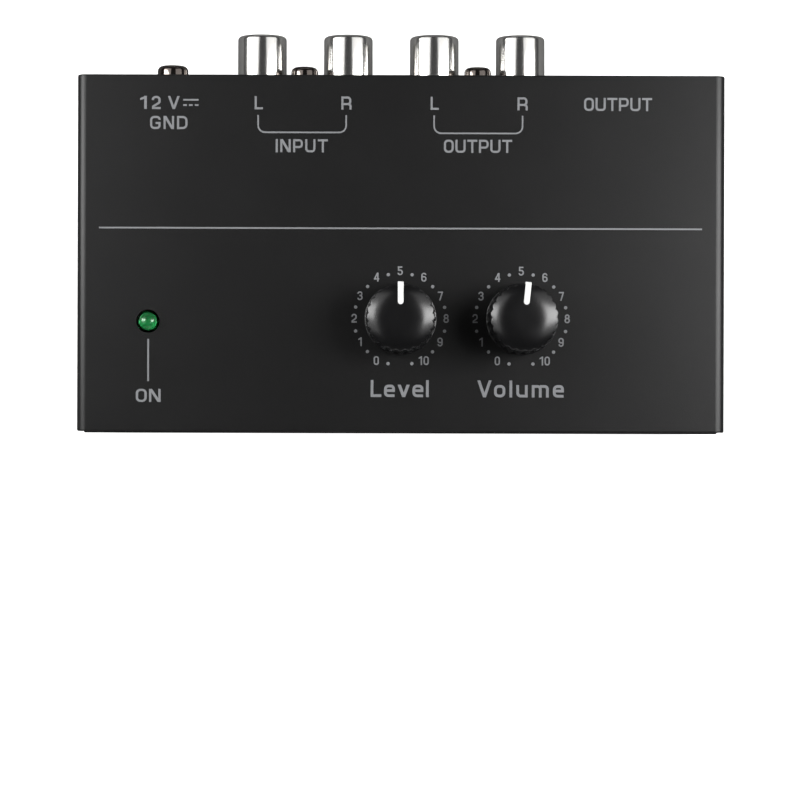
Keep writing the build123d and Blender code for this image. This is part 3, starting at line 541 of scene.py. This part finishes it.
def frame_box(x0, y0, x1, y1):
    """The four corners of an upright rectangle."""
    return [(x0, y0), (x0, y1), (x1, y1), (x1, y0)]


print("a straight stroke's left edge:", ribbon([(0, 0), (0, 1)])[0].tolist())

# %% [markdown]
# A letter is its width and its strokes, measured in capital heights. A pen's middle line runs half a pen
# inside the letter's outline, so A is the lowest or leftmost place of a middle line and B the highest.

# %% Draw the capitals
A = PEN / 2
B = 1 - A
glyphs = {
    "I": (PEN, [ribbon([(A, 0), (A, 1)])]),
    "L": (0.63, [ribbon([(A, 1), (A, A), (0.63, A)])]),
    "T": (0.76, [ribbon([(0, B), (0.76, B)]), ribbon([(0.38, B), (0.38, 0)])]),
    "N": (0.80, [
        ribbon([(A, 0), (A, 1)]),
        ribbon([(0.80 - A, 0), (0.80 - A, 1)]),
        slant((0, 1), (0.21, 1), (0.8, 0), (0.59, 0)),
    ]),
    "V": (0.90, [
        slant((0, 1), (0.18, 1), (0.55, 0), (0.36, 0)),
        slant((0.72, 1), (0.90, 1), (0.54, 0), (0.35, 0)),
    ]),
    "U": (0.78, [ribbon([(A, 1), (A, A), (0.78 - A, A), (0.78 - A, 1)], 0.2)]),
    "O": (0.75, [ribbon(frame_box(A, A, 0.75 - A, B), 0.24, closed=True)]),
    "D": (0.80, [ribbon(frame_box(A, A, 0.80 - A, B), [0, 0, 0.28, 0.28], closed=True)]),
    "G": (0.80, [
        ribbon(
            [(0.72, 0.70), (0.72, B), (A, B), (A, A), (0.72, A), (0.72, 0.46), (0.42, 0.46)],
            [0, 0.2, 0.24, 0.24, 0.2, 0, 0],
        ),
    ]),
    "P": (0.74, [
        ribbon([(A, 0), (A, B), (0.66, B), (0.66, 0.40), (PEN, 0.40)], [0, 0, 0.2, 0.2, 0]),
    ]),
    "R": (0.78, [
        ribbon([(A, 0), (A, B), (0.68, B), (0.68, 0.42), (PEN, 0.42)], [0, 0, 0.2, 0.2, 0]),
        ribbon([(0.70, 0), (0.70, 0.36), (0.5, 0.42)], [0, 0.14, 0]),
    ]),
}
print("capitals:", "".join(glyphs))

# %% [markdown]
# Small letters share the capitals' pen. They are 0.73 of a capital high, but for the tall l, so S is the
# highest place of their middle lines.

# %% Draw the small letters
SMALL = 0.73
S = SMALL - A
glyphs |= {
    "e": (0.64, [
        ribbon(
            [(PEN, 0.38), (0.56, 0.38), (0.56, S), (A, S), (A, A), (0.62, A)],
            [0, 0, 0.16, 0.18, 0.18, 0],
        ),
    ]),
    "v": (0.72, [
        slant((0, SMALL), (0.19, SMALL), (0.46, 0), (0.27, 0)),
        slant((0.53, SMALL), (0.72, SMALL), (0.45, 0), (0.26, 0)),
    ]),
    "l": (PEN, [ribbon([(A, 0), (A, 1)])]),
    "o": (0.66, [ribbon(frame_box(A, A, 0.66 - A, S), 0.2, closed=True)]),
    "u": (0.66, [
        ribbon([(A, SMALL), (A, A), (0.58, A)], [0, 0.18, 0]),
        ribbon([(0.58, 0), (0.58, SMALL)]),
    ]),
    "m": (0.99, [
        ribbon([(A, 0), (A, SMALL)]),
        ribbon([(A, S), (0.495, S), (0.495, 0)], [0, 0.16, 0]),
        ribbon([(0.47, S), (0.91, S), (0.91, 0)], [0, 0.16, 0]),
    ]),
}
print("letters so far:", "".join(glyphs))

# %% [markdown]
# Digits are drawn with a slightly finer pen, because on the dials they stand much smaller than the words.
# C and D are the lowest and highest place of its middle line.

# %% Draw the digits
FINE = 0.155
C = FINE / 2
D = 1 - C
glyphs |= {
    "0": (0.60, [ribbon(frame_box(C, C, 0.6 - C, D), 0.21, FINE, True)]),
    "1": (0.40, [
        ribbon([(0.32, 0), (0.32, 1)], 0, FINE),
        slant((0.27, 0.98), (0.27, 0.79), (0, 0.68), (0, 0.83)),
    ]),
    "2": (0.60, [
        ribbon(
            [(C, 0.68), (C, D), (0.52, D), (0.52, 0.50), (0.10, 0.20), (0.10, C), (0.60, C)],
            [0, 0.2, 0.2, 0.16, 0.05, 0, 0],
            FINE,
        ),
    ]),
    "3": (0.60, [
        ribbon([(C, 0.72), (C, D), (0.50, D), (0.50, 0.53), (0.24, 0.53)], [0, 0.19, 0.19, 0.18, 0], FINE),
        ribbon([(0.24, 0.53), (0.52, 0.53), (0.52, C), (C, C), (C, 0.28)], [0, 0.2, 0.22, 0.19, 0], FINE),
    ]),
    "4": (0.62, [
        ribbon([(0.46, 0), (0.46, 1)], 0, FINE),
        ribbon([(0.02, 0.30), (0.62, 0.30)], 0, FINE),
        slant((0.35, 1), (0.51, 1), (0.16, 0.28), (0.0, 0.28)),
    ]),
    "5": (0.60, [
        ribbon(
            [(0.54, D), (0.12, D), (0.12, 0.57), (0.52, 0.57), (0.52, C), (C, C), (C, 0.27)],
            [0, 0, 0, 0.22, 0.22, 0.18, 0],
            FINE,
        ),
    ]),
    "6": (0.60, [
        ribbon(
            [(0.50, 0.73), (0.50, D), (C, D), (C, C), (0.52, C), (0.52, 0.56), (FINE, 0.56)],
            [0, 0.17, 0.21, 0.21, 0.21, 0.21, 0],
            FINE,
        ),
    ]),
    "7": (0.58, [
        ribbon([(0, D), (0.58, D)], 0, FINE),
        slant((0.42, 0.9), (0.58, 0.9), (0.31, 0), (0.15, 0)),
    ]),
    "8": (0.60, [
        ribbon(frame_box(0.11, 0.53, 0.49, D), 0.18, FINE, True),
        ribbon(frame_box(C, C, 0.6 - C, 0.53), 0.2, FINE, True),
    ]),
    "9": (0.60, [
        ribbon(
            [(0.10, 0.27), (0.10, C), (0.52, C), (0.52, D), (C, D), (C, 0.44), (0.6 - FINE, 0.44)],
            [0, 0.17, 0.21, 0.21, 0.21, 0.21, 0],
            FINE,
        ),
    ]),
}
print(len(glyphs), "letters and digits drawn")

# %% [markdown]
# A word is fitted between the two ends that it has on the panel: the letters keep their widths, and the
# gaps between them share what is left. Each stroke becomes a thin closed bar of ink: the left and right
# edge at the ink's foot and at its face, carried along the stroke. Where two strokes cross, one passes a
# thousandth of a millimetre over the other: faces in one plane would shade each other.

# %% Set words in ink
INK_FOOT, INK_FACE = z_panel - 0.005, z_panel + 0.02


def inked(stroke, lift):
    """The closed bar over a stroke: four edges carried along it, and squared off at open ends."""
    left, right, closed = stroke
    foot, face = (np.full((len(left), 1), z) for z in (INK_FOOT, INK_FACE + lift))
    edges = [np.hstack(pair) for pair in ((right, foot), (right, face), (left, face), (left, foot))]
    return np.stack(edges, 1), closed, True


def word(text, start, end, foot, height, stretch=1.0):
    """Strokes of a word from one x to another, standing on the line y = foot."""
    widths = [glyphs[letter][0] * height * stretch for letter in text]
    gap = (end - start - sum(widths)) / max(len(text) - 1, 1)
    strokes, x = [], start
    for letter, width in zip(text, widths):
        scale = np.array([height * stretch, height])
        for left, right, closed in glyphs[letter][1]:
            strokes.append((left * scale + (x, foot), right * scale + (x, foot), closed))
        x += width + gap
    return strokes


def line(points, radii, width):
    """Strokes of one printed line along millimetre points."""
    return [ribbon(points, radii, width)]


ink = Finish("pale_grey_ink", (0.156, 0.160, 0.167), 0.55)
ink.shade(0.12, ink.grain(0.12, 2))
ink.bump(ink.grain(0.1, 1), 0.003)


def print_legend(name, strokes, more=()):
    """One printed piece from all its strokes, neighbouring ones at heights a thousandth apart."""
    bars = [inked(stroke, 0.001 * (order % 4)) for order, stroke in enumerate(strokes)]
    return piece(name, bars + list(more), "case", ink, crease=60)


# %% [markdown]
# The legends by the sockets stand in two rows, and a bracket joins the left and right socket of a pair.
# Each word is given by the two ends and the foot that it has on the panel.

# %% Print the socket legends
CAPITAL = 2.1
upper, lower = 19.1, 12.23
socket_words = (
    word("1", -41.85, -40.8, upper, CAPITAL, 1.28)
    + word("2", -40.0, -38.6, upper, CAPITAL, 1.14)
    + word("V", -37.4, -35.5, upper, CAPITAL)
    + word("GND", -40.25, -34.25, 15.9, CAPITAL)
    + word("L", -23.5, -22.2, upper, CAPITAL)
    + word("R", -9.6, -7.95, upper, CAPITAL)
    + word("INPUT", -20.1, -11.75, lower, CAPITAL)
    + word("L", 4.7, 5.95, upper, CAPITAL)
    + word("R", 18.63, 20.3, upper - 0.05, CAPITAL)
    + word("OUTPUT", 6.85, 17.8, lower, CAPITAL)
    + word("OUTPUT", 29.3, 40.2, upper - 0.1, CAPITAL)
)
SIGN_PEN, BRACKET_PEN = 0.27, 0.25
direct_current = line([(-34.95, 20.6), (-32.5, 20.6)], 0, SIGN_PEN)
for start in (-34.95, -34.02, -33.09):
    direct_current += line([(start, 19.75), (start + 0.59, 19.75)], 0, SIGN_PEN)
brackets = []
for low, high, drop in ((-22.93, -8.82, 0), (5.28, 19.45, 0.08)):
    foot = 15.43 - drop
    brackets += line([(low, 18.2), (low, foot), (high, foot), (high, 18.2)], [0, 1.1, 1.1, 0], BRACKET_PEN)
print_legend("legend_sockets", socket_words + direct_current + brackets)

# %% [markdown]
# One fine rule runs across the panel, and a short line leads from the lamp to its word.

# %% Print the rule and the lamp's legend
print_legend("legend_rule", line([(-48.39, 0.08), (48.26, 0.08)], 0, 0.26))
lead = [(lamp_place[0] + 0.05, y) for y in (-24.5, -17.75)]
print_legend("legend_lamp", line(lead, 0, 0.28) + word("ON", -42.41, -38.43, -27.85, CAPITAL, 1.11))

# %% [markdown]
# Each dial runs from 0 to 10 over 300 degrees, with a dot halfway between two numbers and one more at
# each end. The dots lie on a circle. The numbers nearly do, but whoever drew such a dial moved each one
# by eye, so their places are a short table for the right half, and the left half mirrors it.


# %% Print the dials
def around(centre, radius, degrees):
    """A point on a circle, at an angle clockwise from straight back."""
    a = np.radians(degrees)
    return np.stack([centre[0] + radius * np.sin(a), centre[1] + radius * np.cos(a)], -1)


DIAL = {"digit": 1.42, "digit_gap": 0.16, "dot_circle": 7.38, "dot": 0.27}
NUMBER_PLACES = {
    5: (0.0, 7.75), 6: (3.8, 6.73), 7: (6.44, 3.73), 8: (7.38, 0.13), 9: (6.41, -3.64), 10: (3.8, -6.64),
}


def dial_strokes(centre):
    """Numbers 0 to 10, each middle at its place from the table, mirrored for 0 to 4."""
    height, strokes = DIAL["digit"], []
    for number in range(11):
        text = str(number)
        width = (sum(glyphs[d][0] for d in text) + DIAL["digit_gap"] * (len(text) - 1)) * height
        side, back = NUMBER_PLACES[max(number, 10 - number)]
        x, y = centre + (side if number > 5 else -side, back)
        strokes += word(text, x - width / 2, x + width / 2, y - height / 2, height)
    return strokes


def dot_bars(centre, sides=20):
    """Round dots of ink: each is a circle at the ink's foot and one at its face, closed by its two discs."""
    turn = np.linspace(0, 2 * math.pi, sides, endpoint=False)
    heights = np.array([INK_FOOT, INK_FOOT, INK_FACE, INK_FACE])[:, None] + 0 * turn
    radii = np.array([0, DIAL["dot"], DIAL["dot"], 0])[:, None]
    bars = []
    for x, y in around(centre, DIAL["dot_circle"], np.arange(-165, 166, 30)):
        ring = np.stack([x + radii * np.cos(turn), y + radii * np.sin(turn), heights], -1)
        bars.append((ring, False, True))
    return bars


dial_words = {
    "level": [("Level", -4.77, 4.54, 1.0)],
    "volume": [("V", 12.32, 14.61, 0.94), ("olume", 15.0, 26.2, 1.01)],
}
for name, words in dial_words.items():
    centre = dial_places[name] + (-0.085, 0)  # the print lies a little left of the holes
    strokes = dial_strokes(centre)
    for text, start, end, stretch in words:
        strokes += word(text, start, end, -26.95, 2.72, stretch)
    print_legend(f"legend_{name}", strokes, dot_bars(centre))

# %% [markdown]
# ## Knobs
#
# A knob is one moulding: a low skirt, a fluted wall that leans in a little, and a shallow dome. The
# profile is spun about the shaft. A flute is a round cutter that runs down the wall, so near it the
# radius may not pass the cutter's circle: c cos d - sqrt(f^2 - c^2 sin^2 d), where c is the distance of
# the cutter's middle, f its radius and d the angle from it. Taking the smaller of profile and cutter
# also scallops the dome's rim, as the real cutter does.

# %% Shape the knobs
KNOB = {"height": 10.88, "skirt": 5.75, "skirt_top": 0.8, "foot": 5.6, "shoulder": 5.33, "rise": 0.95}
KNOB["wall_top"] = KNOB["height"] - KNOB["rise"]
FLUTE = {"count": 24, "cutter": 0.61, "cut": 0.2}


def dome_height(r):
    """Height of the dome: flat in the middle, and falling with the fourth power of the distance from it."""
    return KNOB["height"] - KNOB["rise"] * (r / KNOB["shoulder"]) ** 4


def knob_profile():
    """Half section from the dome's middle, over the shoulder, down the wall and out to the skirt."""
    shoulder, height = KNOB["shoulder"], KNOB["height"]
    r = np.linspace(0, shoulder - 0.12, 34)
    dome = np.stack([r, dome_height(r)], 1)
    wall = [(shoulder, KNOB["wall_top"]), (KNOB["foot"], KNOB["skirt_top"])]
    skirt = [(KNOB["skirt"], KNOB["skirt_top"]), (KNOB["skirt"], 0), (3.0, 0)]
    bent = rounded([tuple(dome[-1]), *wall, *skirt], [0, 0.1, 0.08, 0.05, 0.1, 0], 5)
    upper = bent[bent[:, 1] > height / 2]
    lower = bent[bent[:, 1] <= height / 2]
    share = np.linspace(0, 1, 14)[1:-1, None]
    filled = upper[-1] * (1 - share) + lower[0] * share
    return np.concatenate([dome[:-1], upper, filled, lower, [(0, 0)]])


def fluted(a, r, h):
    """Radii cut back to the flutes' cutters, which lean with the wall, everywhere above the skirt."""
    pitch = 2 * math.pi / FLUTE["count"]
    d = np.abs((a / pitch) % 1 - 0.5) * pitch
    lean = (KNOB["foot"] - KNOB["shoulder"]) / (KNOB["wall_top"] - KNOB["skirt_top"])
    middle = (KNOB["skirt_top"] + KNOB["height"]) / 2
    c = (KNOB["foot"] + KNOB["shoulder"]) / 2 + FLUTE["cutter"] - FLUTE["cut"] - (h - middle) * lean
    inside = FLUTE["cutter"] ** 2 - (c * np.sin(d)) ** 2
    cutter = np.where(inside > 0, c * np.cos(d) - np.sqrt(np.maximum(inside, 0)), np.inf)
    cut = np.where(h > KNOB["skirt_top"] - 0.02, np.minimum(r, cutter), r)
    return np.where(r > KNOB["foot"] + 0.02, r, cut), h


print("knob's half section:", len(knob_profile()), "points, with", FLUTE["count"], "flutes")

# %% [markdown]
# The pointer is a white bar let into the knob. It starts with a round end near the dome's middle, runs
# over the dome, bends over the rim and ends a little way down the wall. It stands a few hundredths of a
# millimetre proud, so that it catches the light as a separate moulding. A slot could be cut for it with a
# Boolean, but that leaves slivers in the dome's shading. A strip that follows the dome's own formula
# lies on it without a cut.

# %% Lay the pointer on the knob
POINTER = {"half_width": 0.46, "start": 1.98, "reach": 5.56, "proud": 0.035, "foot": 7.5}


def pointer_path():
    """The pointer's middle line: over the dome from its inner end, round the rim and down the wall."""
    half, start, reach = POINTER["half_width"], POINTER["start"], POINTER["reach"]
    inner = start + half * (1 - np.cos(np.linspace(0, math.pi / 2, 9)))
    r = np.concatenate([inner[:-1], np.linspace(start + half, 4.9, 20)])
    dome = np.stack([r, dome_height(r)], 1)
    rim = [tuple(dome[-1]), (reach, dome_height(5.3)), (reach + 0.04, POINTER["foot"])]
    return np.concatenate([dome[:-1], rounded(rim, [0, 0.4, 0], 8)])


def pointer_bar():
    """A flat bar along the middle line. Its half width grows from nothing as a circle's does, so the inner
    end is round, and its edges are rounded by points that lie lower the further out they are."""
    path = pointer_path()
    step = np.gradient(path, axis=0)
    step /= np.linalg.norm(step, axis=1, keepdims=True)
    out = np.stack([-step[:, 1], step[:, 0]], 1)
    half = POINTER["half_width"]
    back = np.clip(POINTER["start"] + half - path[:, 0], 0, half)
    across = np.array([-1, -1, -0.93, -0.8, 0, 0.8, 0.93, 1, 1])
    lift = np.array([-6, -0.5, 0.5, 0.95, 1, 0.95, 0.5, -0.5, -6]) * POINTER["proud"]
    x = np.sqrt(half**2 - back**2)[:, None] * across
    return np.stack([x, path[:, :1] + out[:, :1] * lift, path[:, 1:] + out[:, 1:] * lift], -1)


turns = {"level": 0.0, "volume": 6.4}  # degrees clockwise of straight back
for name, (low, high) in knob_boxes.items():
    heading = math.radians(turns[name])
    across = (math.cos(heading), -math.sin(heading), 0)
    up = (math.sin(heading), math.cos(heading), 0)
    place = axes_at((*dial_places[name], low[2]), across, up)
    body = lathe(knob_profile(), FLUTE["count"] * 16, fluted)
    piece(
        f"{name}_knob_body", [(place(body), False, True)], f"{name}_dial", knob_plastic,
        crease=28, replaces=[f"{name}_knob"],
    )
    piece(
        f"{name}_pointer_bar", [(place(pointer_bar()), False, True)], f"{name}_dial", pointer_plastic,
        crease=50, replaces=[f"{name}_pointer"],
    )

# %% [markdown]
# ## Screws with a cross recess
#
# A pan head is a dome over a short rounded wall. Its recess is a cross that narrows as it goes down. All
# of it is one stack of rings with the same number of points: the inner rings follow the cross, the outer
# ones a circle, and the rings between blend from one to the other. A point of a ring is therefore
# (1 - s) times its place on the cross plus s times its place on the circle at the same angle. A Boolean
# cut would leave uneven faces round the cross, and a dark shiny head would show them.


# %% Shape the screw heads
def cross_outline(reach, half_width, steps=5):
    """A cross's outline from the +X arm round, as (n, 2) points; each quarter repeats the first, turned."""
    side = np.linspace(0, half_width, 3)[:-1]
    arm = np.linspace(reach, half_width, steps)
    quarter = np.concatenate(
        [
            np.stack([np.full(2, reach), side], 1),
            np.stack([arm, np.full(steps, half_width)], 1),
            np.stack([np.full(steps - 1, half_width), arm[::-1][1:]], 1),
            np.stack([side[::-1], np.full(2, reach)], 1)[:1],
        ]
    )
    x, y = quarter.T
    return np.concatenate([np.stack(p, 1) for p in ((x, y), (-y, x), (-x, -y), (y, -x))])


RECESS = {"reach": 0.6, "half_width": 0.34, "depth": 1.0, "edge": 0.05, "narrowing": 0.62, "point": 0.15}


def screw_head(radius, height, turn_in=0.85, crown=0.12):
    """Rings of a pan head that stands on z = 0, from the middle of its underside to its recess's floor. Its
    wall turns in over a quarter circle, and its face is a shallow ball."""
    cross = cross_outline(radius * RECESS["reach"], RECESS["half_width"])
    angle = np.arctan2(cross[:, 1], cross[:, 0])
    circle = np.stack([np.cos(angle), np.sin(angle)], 1)
    face = radius - turn_in
    ball = (face**2 + crown**2) / (2 * crown)

    def on_face(r):
        """Height of the face at a distance from the middle."""
        return height - ball + np.sqrt(ball**2 - r**2)

    rings = [(circle * 0, 0), (circle * (radius - 0.08), 0), (circle * radius, 0.08)]
    for turn in np.linspace(0, math.pi / 2, 9):
        r = radius - turn_in * (1 - math.cos(turn))
        rings.append((circle * r, height - crown - turn_in * (1 - math.sin(turn))))
    for s in np.linspace(0.85, 0, 7):
        flat = (1 - s) * cross + s * circle * face
        rings.append((flat, on_face(np.linalg.norm(flat, axis=1))))
    top = on_face(np.linalg.norm(cross, axis=1))
    floor = height - RECESS["depth"]
    rings.append((cross * 0.985, top - RECESS["edge"]))
    rings.append((cross * RECESS["narrowing"], top * 0 + floor))
    rings.append((cross * 0, floor - RECESS["point"]))
    return np.stack([np.column_stack([flat, np.broadcast_to(z, len(flat))]) for flat, z in rings])


def threaded_shank(radius, length, pitch=0.5, depth=0.28):
    """A shank below z = 0 with a thread: the radius falls by a triangle wave of height over pitch less
    the share of a turn."""
    z = np.linspace(0, -length, int(length / pitch * 10) + 1)
    taper = 0.75 + 0.25 * np.clip((z + length) / 0.4, 0, 1)[:, None]

    def threaded(a, r, h):
        """The radius less the wave, and a quarter less at the tip."""
        wave = np.abs(((h / pitch - a / (2 * math.pi)) % 1) * 2 - 1)
        return (r - depth * wave) * taper, h

    spun = lathe(np.stack([np.full(len(z), radius), z], 1), 32, threaded)
    ends = spun[[0, -1]] * (0, 0, 1)
    return np.concatenate([ends[:1], spun, ends[1:]])


def screws(name, places, sizes, body, finish, node):
    """All the screws of one node as one piece: heads and threaded shanks, sized by the head's radius and
    height and the shank's radius and length."""
    radius, height, shank, length = sizes
    grids = []
    for place in places:
        grids.append((place(screw_head(radius, height)), False, True))
        grids.append((place(threaded_shank(shank, length)), False, True))
    return piece(name, grids, body, finish, 32, [node])


print("a head's rings:", screw_head(2.2, 1.6).shape)

# %% [markdown]
# Each screw stands where its node stands: the head's underside on the sheet or washer that it clamps, and
# the shank through it. The two case screws face outwards at the sides, so their axes point along X.

# %% Drive the case screws
side_low, side_high = box_mm("case_screws")
side_place = ((side_low + side_high) / 2)[1:]
sides = [
    axes_at((cover_high[0], *side_place), (0, 1, 0), (0, 0, 1)),
    axes_at((cover_low[0], *side_place), (0, -1, 0), (0, 0, 1)),
]
side_sizes = (2.7, side_high[0] - cover_high[0], 1.45, 3.6)
screws("case_screw_pair", sides, side_sizes, "case", black_zinc, "case_screws")

# %% [markdown]
# The screws between the sockets hold the moulded blocks to the back panel, so their axes point along Y.

# %% Drive the screws between the sockets
PAIR_HEAD = 2.2
panel_back = box_mm("bottom_chassis")[1][1]
pair_low, pair_high = box_mm("rca_block_screws")
pair_z = (pair_low + pair_high)[2] / 2
pair = [
    axes_at((x, panel_back, pair_z), (-1, 0, 0), (0, 0, 1))
    for x in (pair_low[0] + PAIR_HEAD, pair_high[0] - PAIR_HEAD)
]
pair_sizes = (PAIR_HEAD, pair_high[1] - panel_back, 1.4, 8.5)
screws("socket_screw_pair", pair, pair_sizes, "case", bronze, "rca_block_screws")

# %% [markdown]
# The earth screw clamps a toothed washer and moves with it when it is opened, so it rides on a body of its
# own, and its head stands on the washer's face.

# %% Drive the earth screw
earth_low, earth_high = box_mm("ground_screw")
earth_place = (earth_low + earth_high) / 2
washer_face = box_mm("ground_washer")[1][1]
earth = [axes_at((earth_place[0], washer_face, earth_place[2]), (-1, 0, 0), (0, 0, 1))]
earth_sizes = (2.5, earth_high[1] - washer_face, 1.45, washer_face - earth_low[1])
screws("earth_screw_turned", earth, earth_sizes, "earth_screw", bronze, "ground_screw")

# %% [markdown]
# ## The sockets' barrels
#
# Each barrel is a lathe-turned tube: a small groove where it meets the panel, a straight wall, a rim that
# is rounded over and turned in, and a bore. The profile is spun about the socket's axis with enough steps
# that the mirror-bright wall shows no facets. The collar and the flange behind the panel stay inside.

# %% Turn the barrels
BARREL = {"wall": 4.05, "bore": 3.45, "mouth": 2.95, "round": 0.62, "lip": 0.8}
INSULATOR_RADIUS = 3.4


def barrel_profile(length):
    """Half section of one barrel as (radius, distance from the panel), closed on itself."""
    outer, bore, mouth = BARREL["wall"], BARREL["bore"], BARREL["mouth"]
    lip, groove = length - BARREL["lip"], outer - 0.12
    flange = [(bore, -1.6), (4.8, -1.6), (4.8, -1.0)]
    collar = [(4.3, -1.0), (4.3, 0.05), (groove, 0.05), (groove, 0.35)]
    wall = [(outer, 0.35), (outer, length), (mouth, length), (mouth, lip), (bore, lip)]
    radii = [0, 0.05, 0.05, 0.03, 0.05, 0.03, 0.05, 0.08, BARREL["round"], 0.08, 0.08, 0.03]
    return rounded(flange + collar + wall, radii, 8, closed=True)


for name in ("input_left", "input_right", "output_left", "output_right"):
    low, high = box_mm(f"rca_shell_{name}")
    centre = ((low + high)[0] / 2, panel_back, box_mm(f"rca_insulator_{name}")[0][2] + INSULATOR_RADIUS)
    place = axes_at(centre, (-1, 0, 0), (0, 0, 1))
    turned = lathe(barrel_profile(high[1] - panel_back), 160)
    piece(
        f"socket_barrel_{name}", [(place(turned), True, True)], "case", nickel,
        crease=30, replaces=[f"rca_shell_{name}"],
    )

# %% [markdown]
# ## The power lamp
#
# A 3 mm lamp is a clear green resin casting over two leads. One lead ends in a small dished cup that holds
# the chip. The lens magnifies the cup until it fills the casting, so the cup is modelled too: the casting
# is a closed surface of tinted glass, and the cup stands inside it.

# %% Cast the lamp
lens_finish = Finish(
    "green_epoxy", (0.10, 0.78, 0.32), 0.04, Transmission_Weight=1.0, IOR=1.5, Specular_IOR_Level=0.5
)
haze = lens_finish.grain(0.5, 2)
lens_finish.shade(0.08, haze)
cup_finish = Finish("lamp_cup", (0.13, 0.27, 0.16), 0.35, metallic=0.2)
cup_finish.shade(0.2, cup_finish.grain(0.3, 2))
lamp_radius, lamp_height = 1.55, lamp_high[2] - lamp_low[2]


def lamp_profile():
    """Half section of the casting: flat underside, flange, straight side and a half ball on top."""
    arc = np.linspace(0, math.pi / 2, 24)
    ball = np.stack([lamp_radius * np.cos(arc), lamp_height - lamp_radius + lamp_radius * np.sin(arc)], 1)
    flange = [(0, 0), (1.9, 0), (1.9, 1.0), (lamp_radius, 1.0), tuple(ball[0])]
    foot = rounded(flange, [0, 0.1, 0.15, 0.08, 0], 4)
    return np.concatenate([foot[:-1], ball])


def cup_profile(rim, depth):
    """Half section of the cup on its lead: a round stalk, a flared outside and a dished inside."""
    outside = [(0, 0), (0.35, 0), (0.35, depth - 0.9), (rim, depth - 0.2), (rim, depth)]
    inside = [(rim - 0.15, depth), (0.35, depth - 0.5), (0, depth - 0.5)]
    return rounded(outside + inside, [0, 0.05, 0.1, 0.1, 0.04, 0.04, 0.1, 0], 4)


lamp_at = axes_at((*lamp_place, lamp_low[2]), (1, 0, 0), (0, 1, 0))
lens = lamp_at(lathe(lamp_profile(), 96))
cup = lamp_at(lathe(cup_profile(1.05, 3.55), 48) + (0, 0, 0.15))
piece("lamp_lens", [(lens, False, True)], "case", lens_finish, 40, ["power_led"])
piece("lamp_cup", [(cup, False, True)], "case", cup_finish, 40)
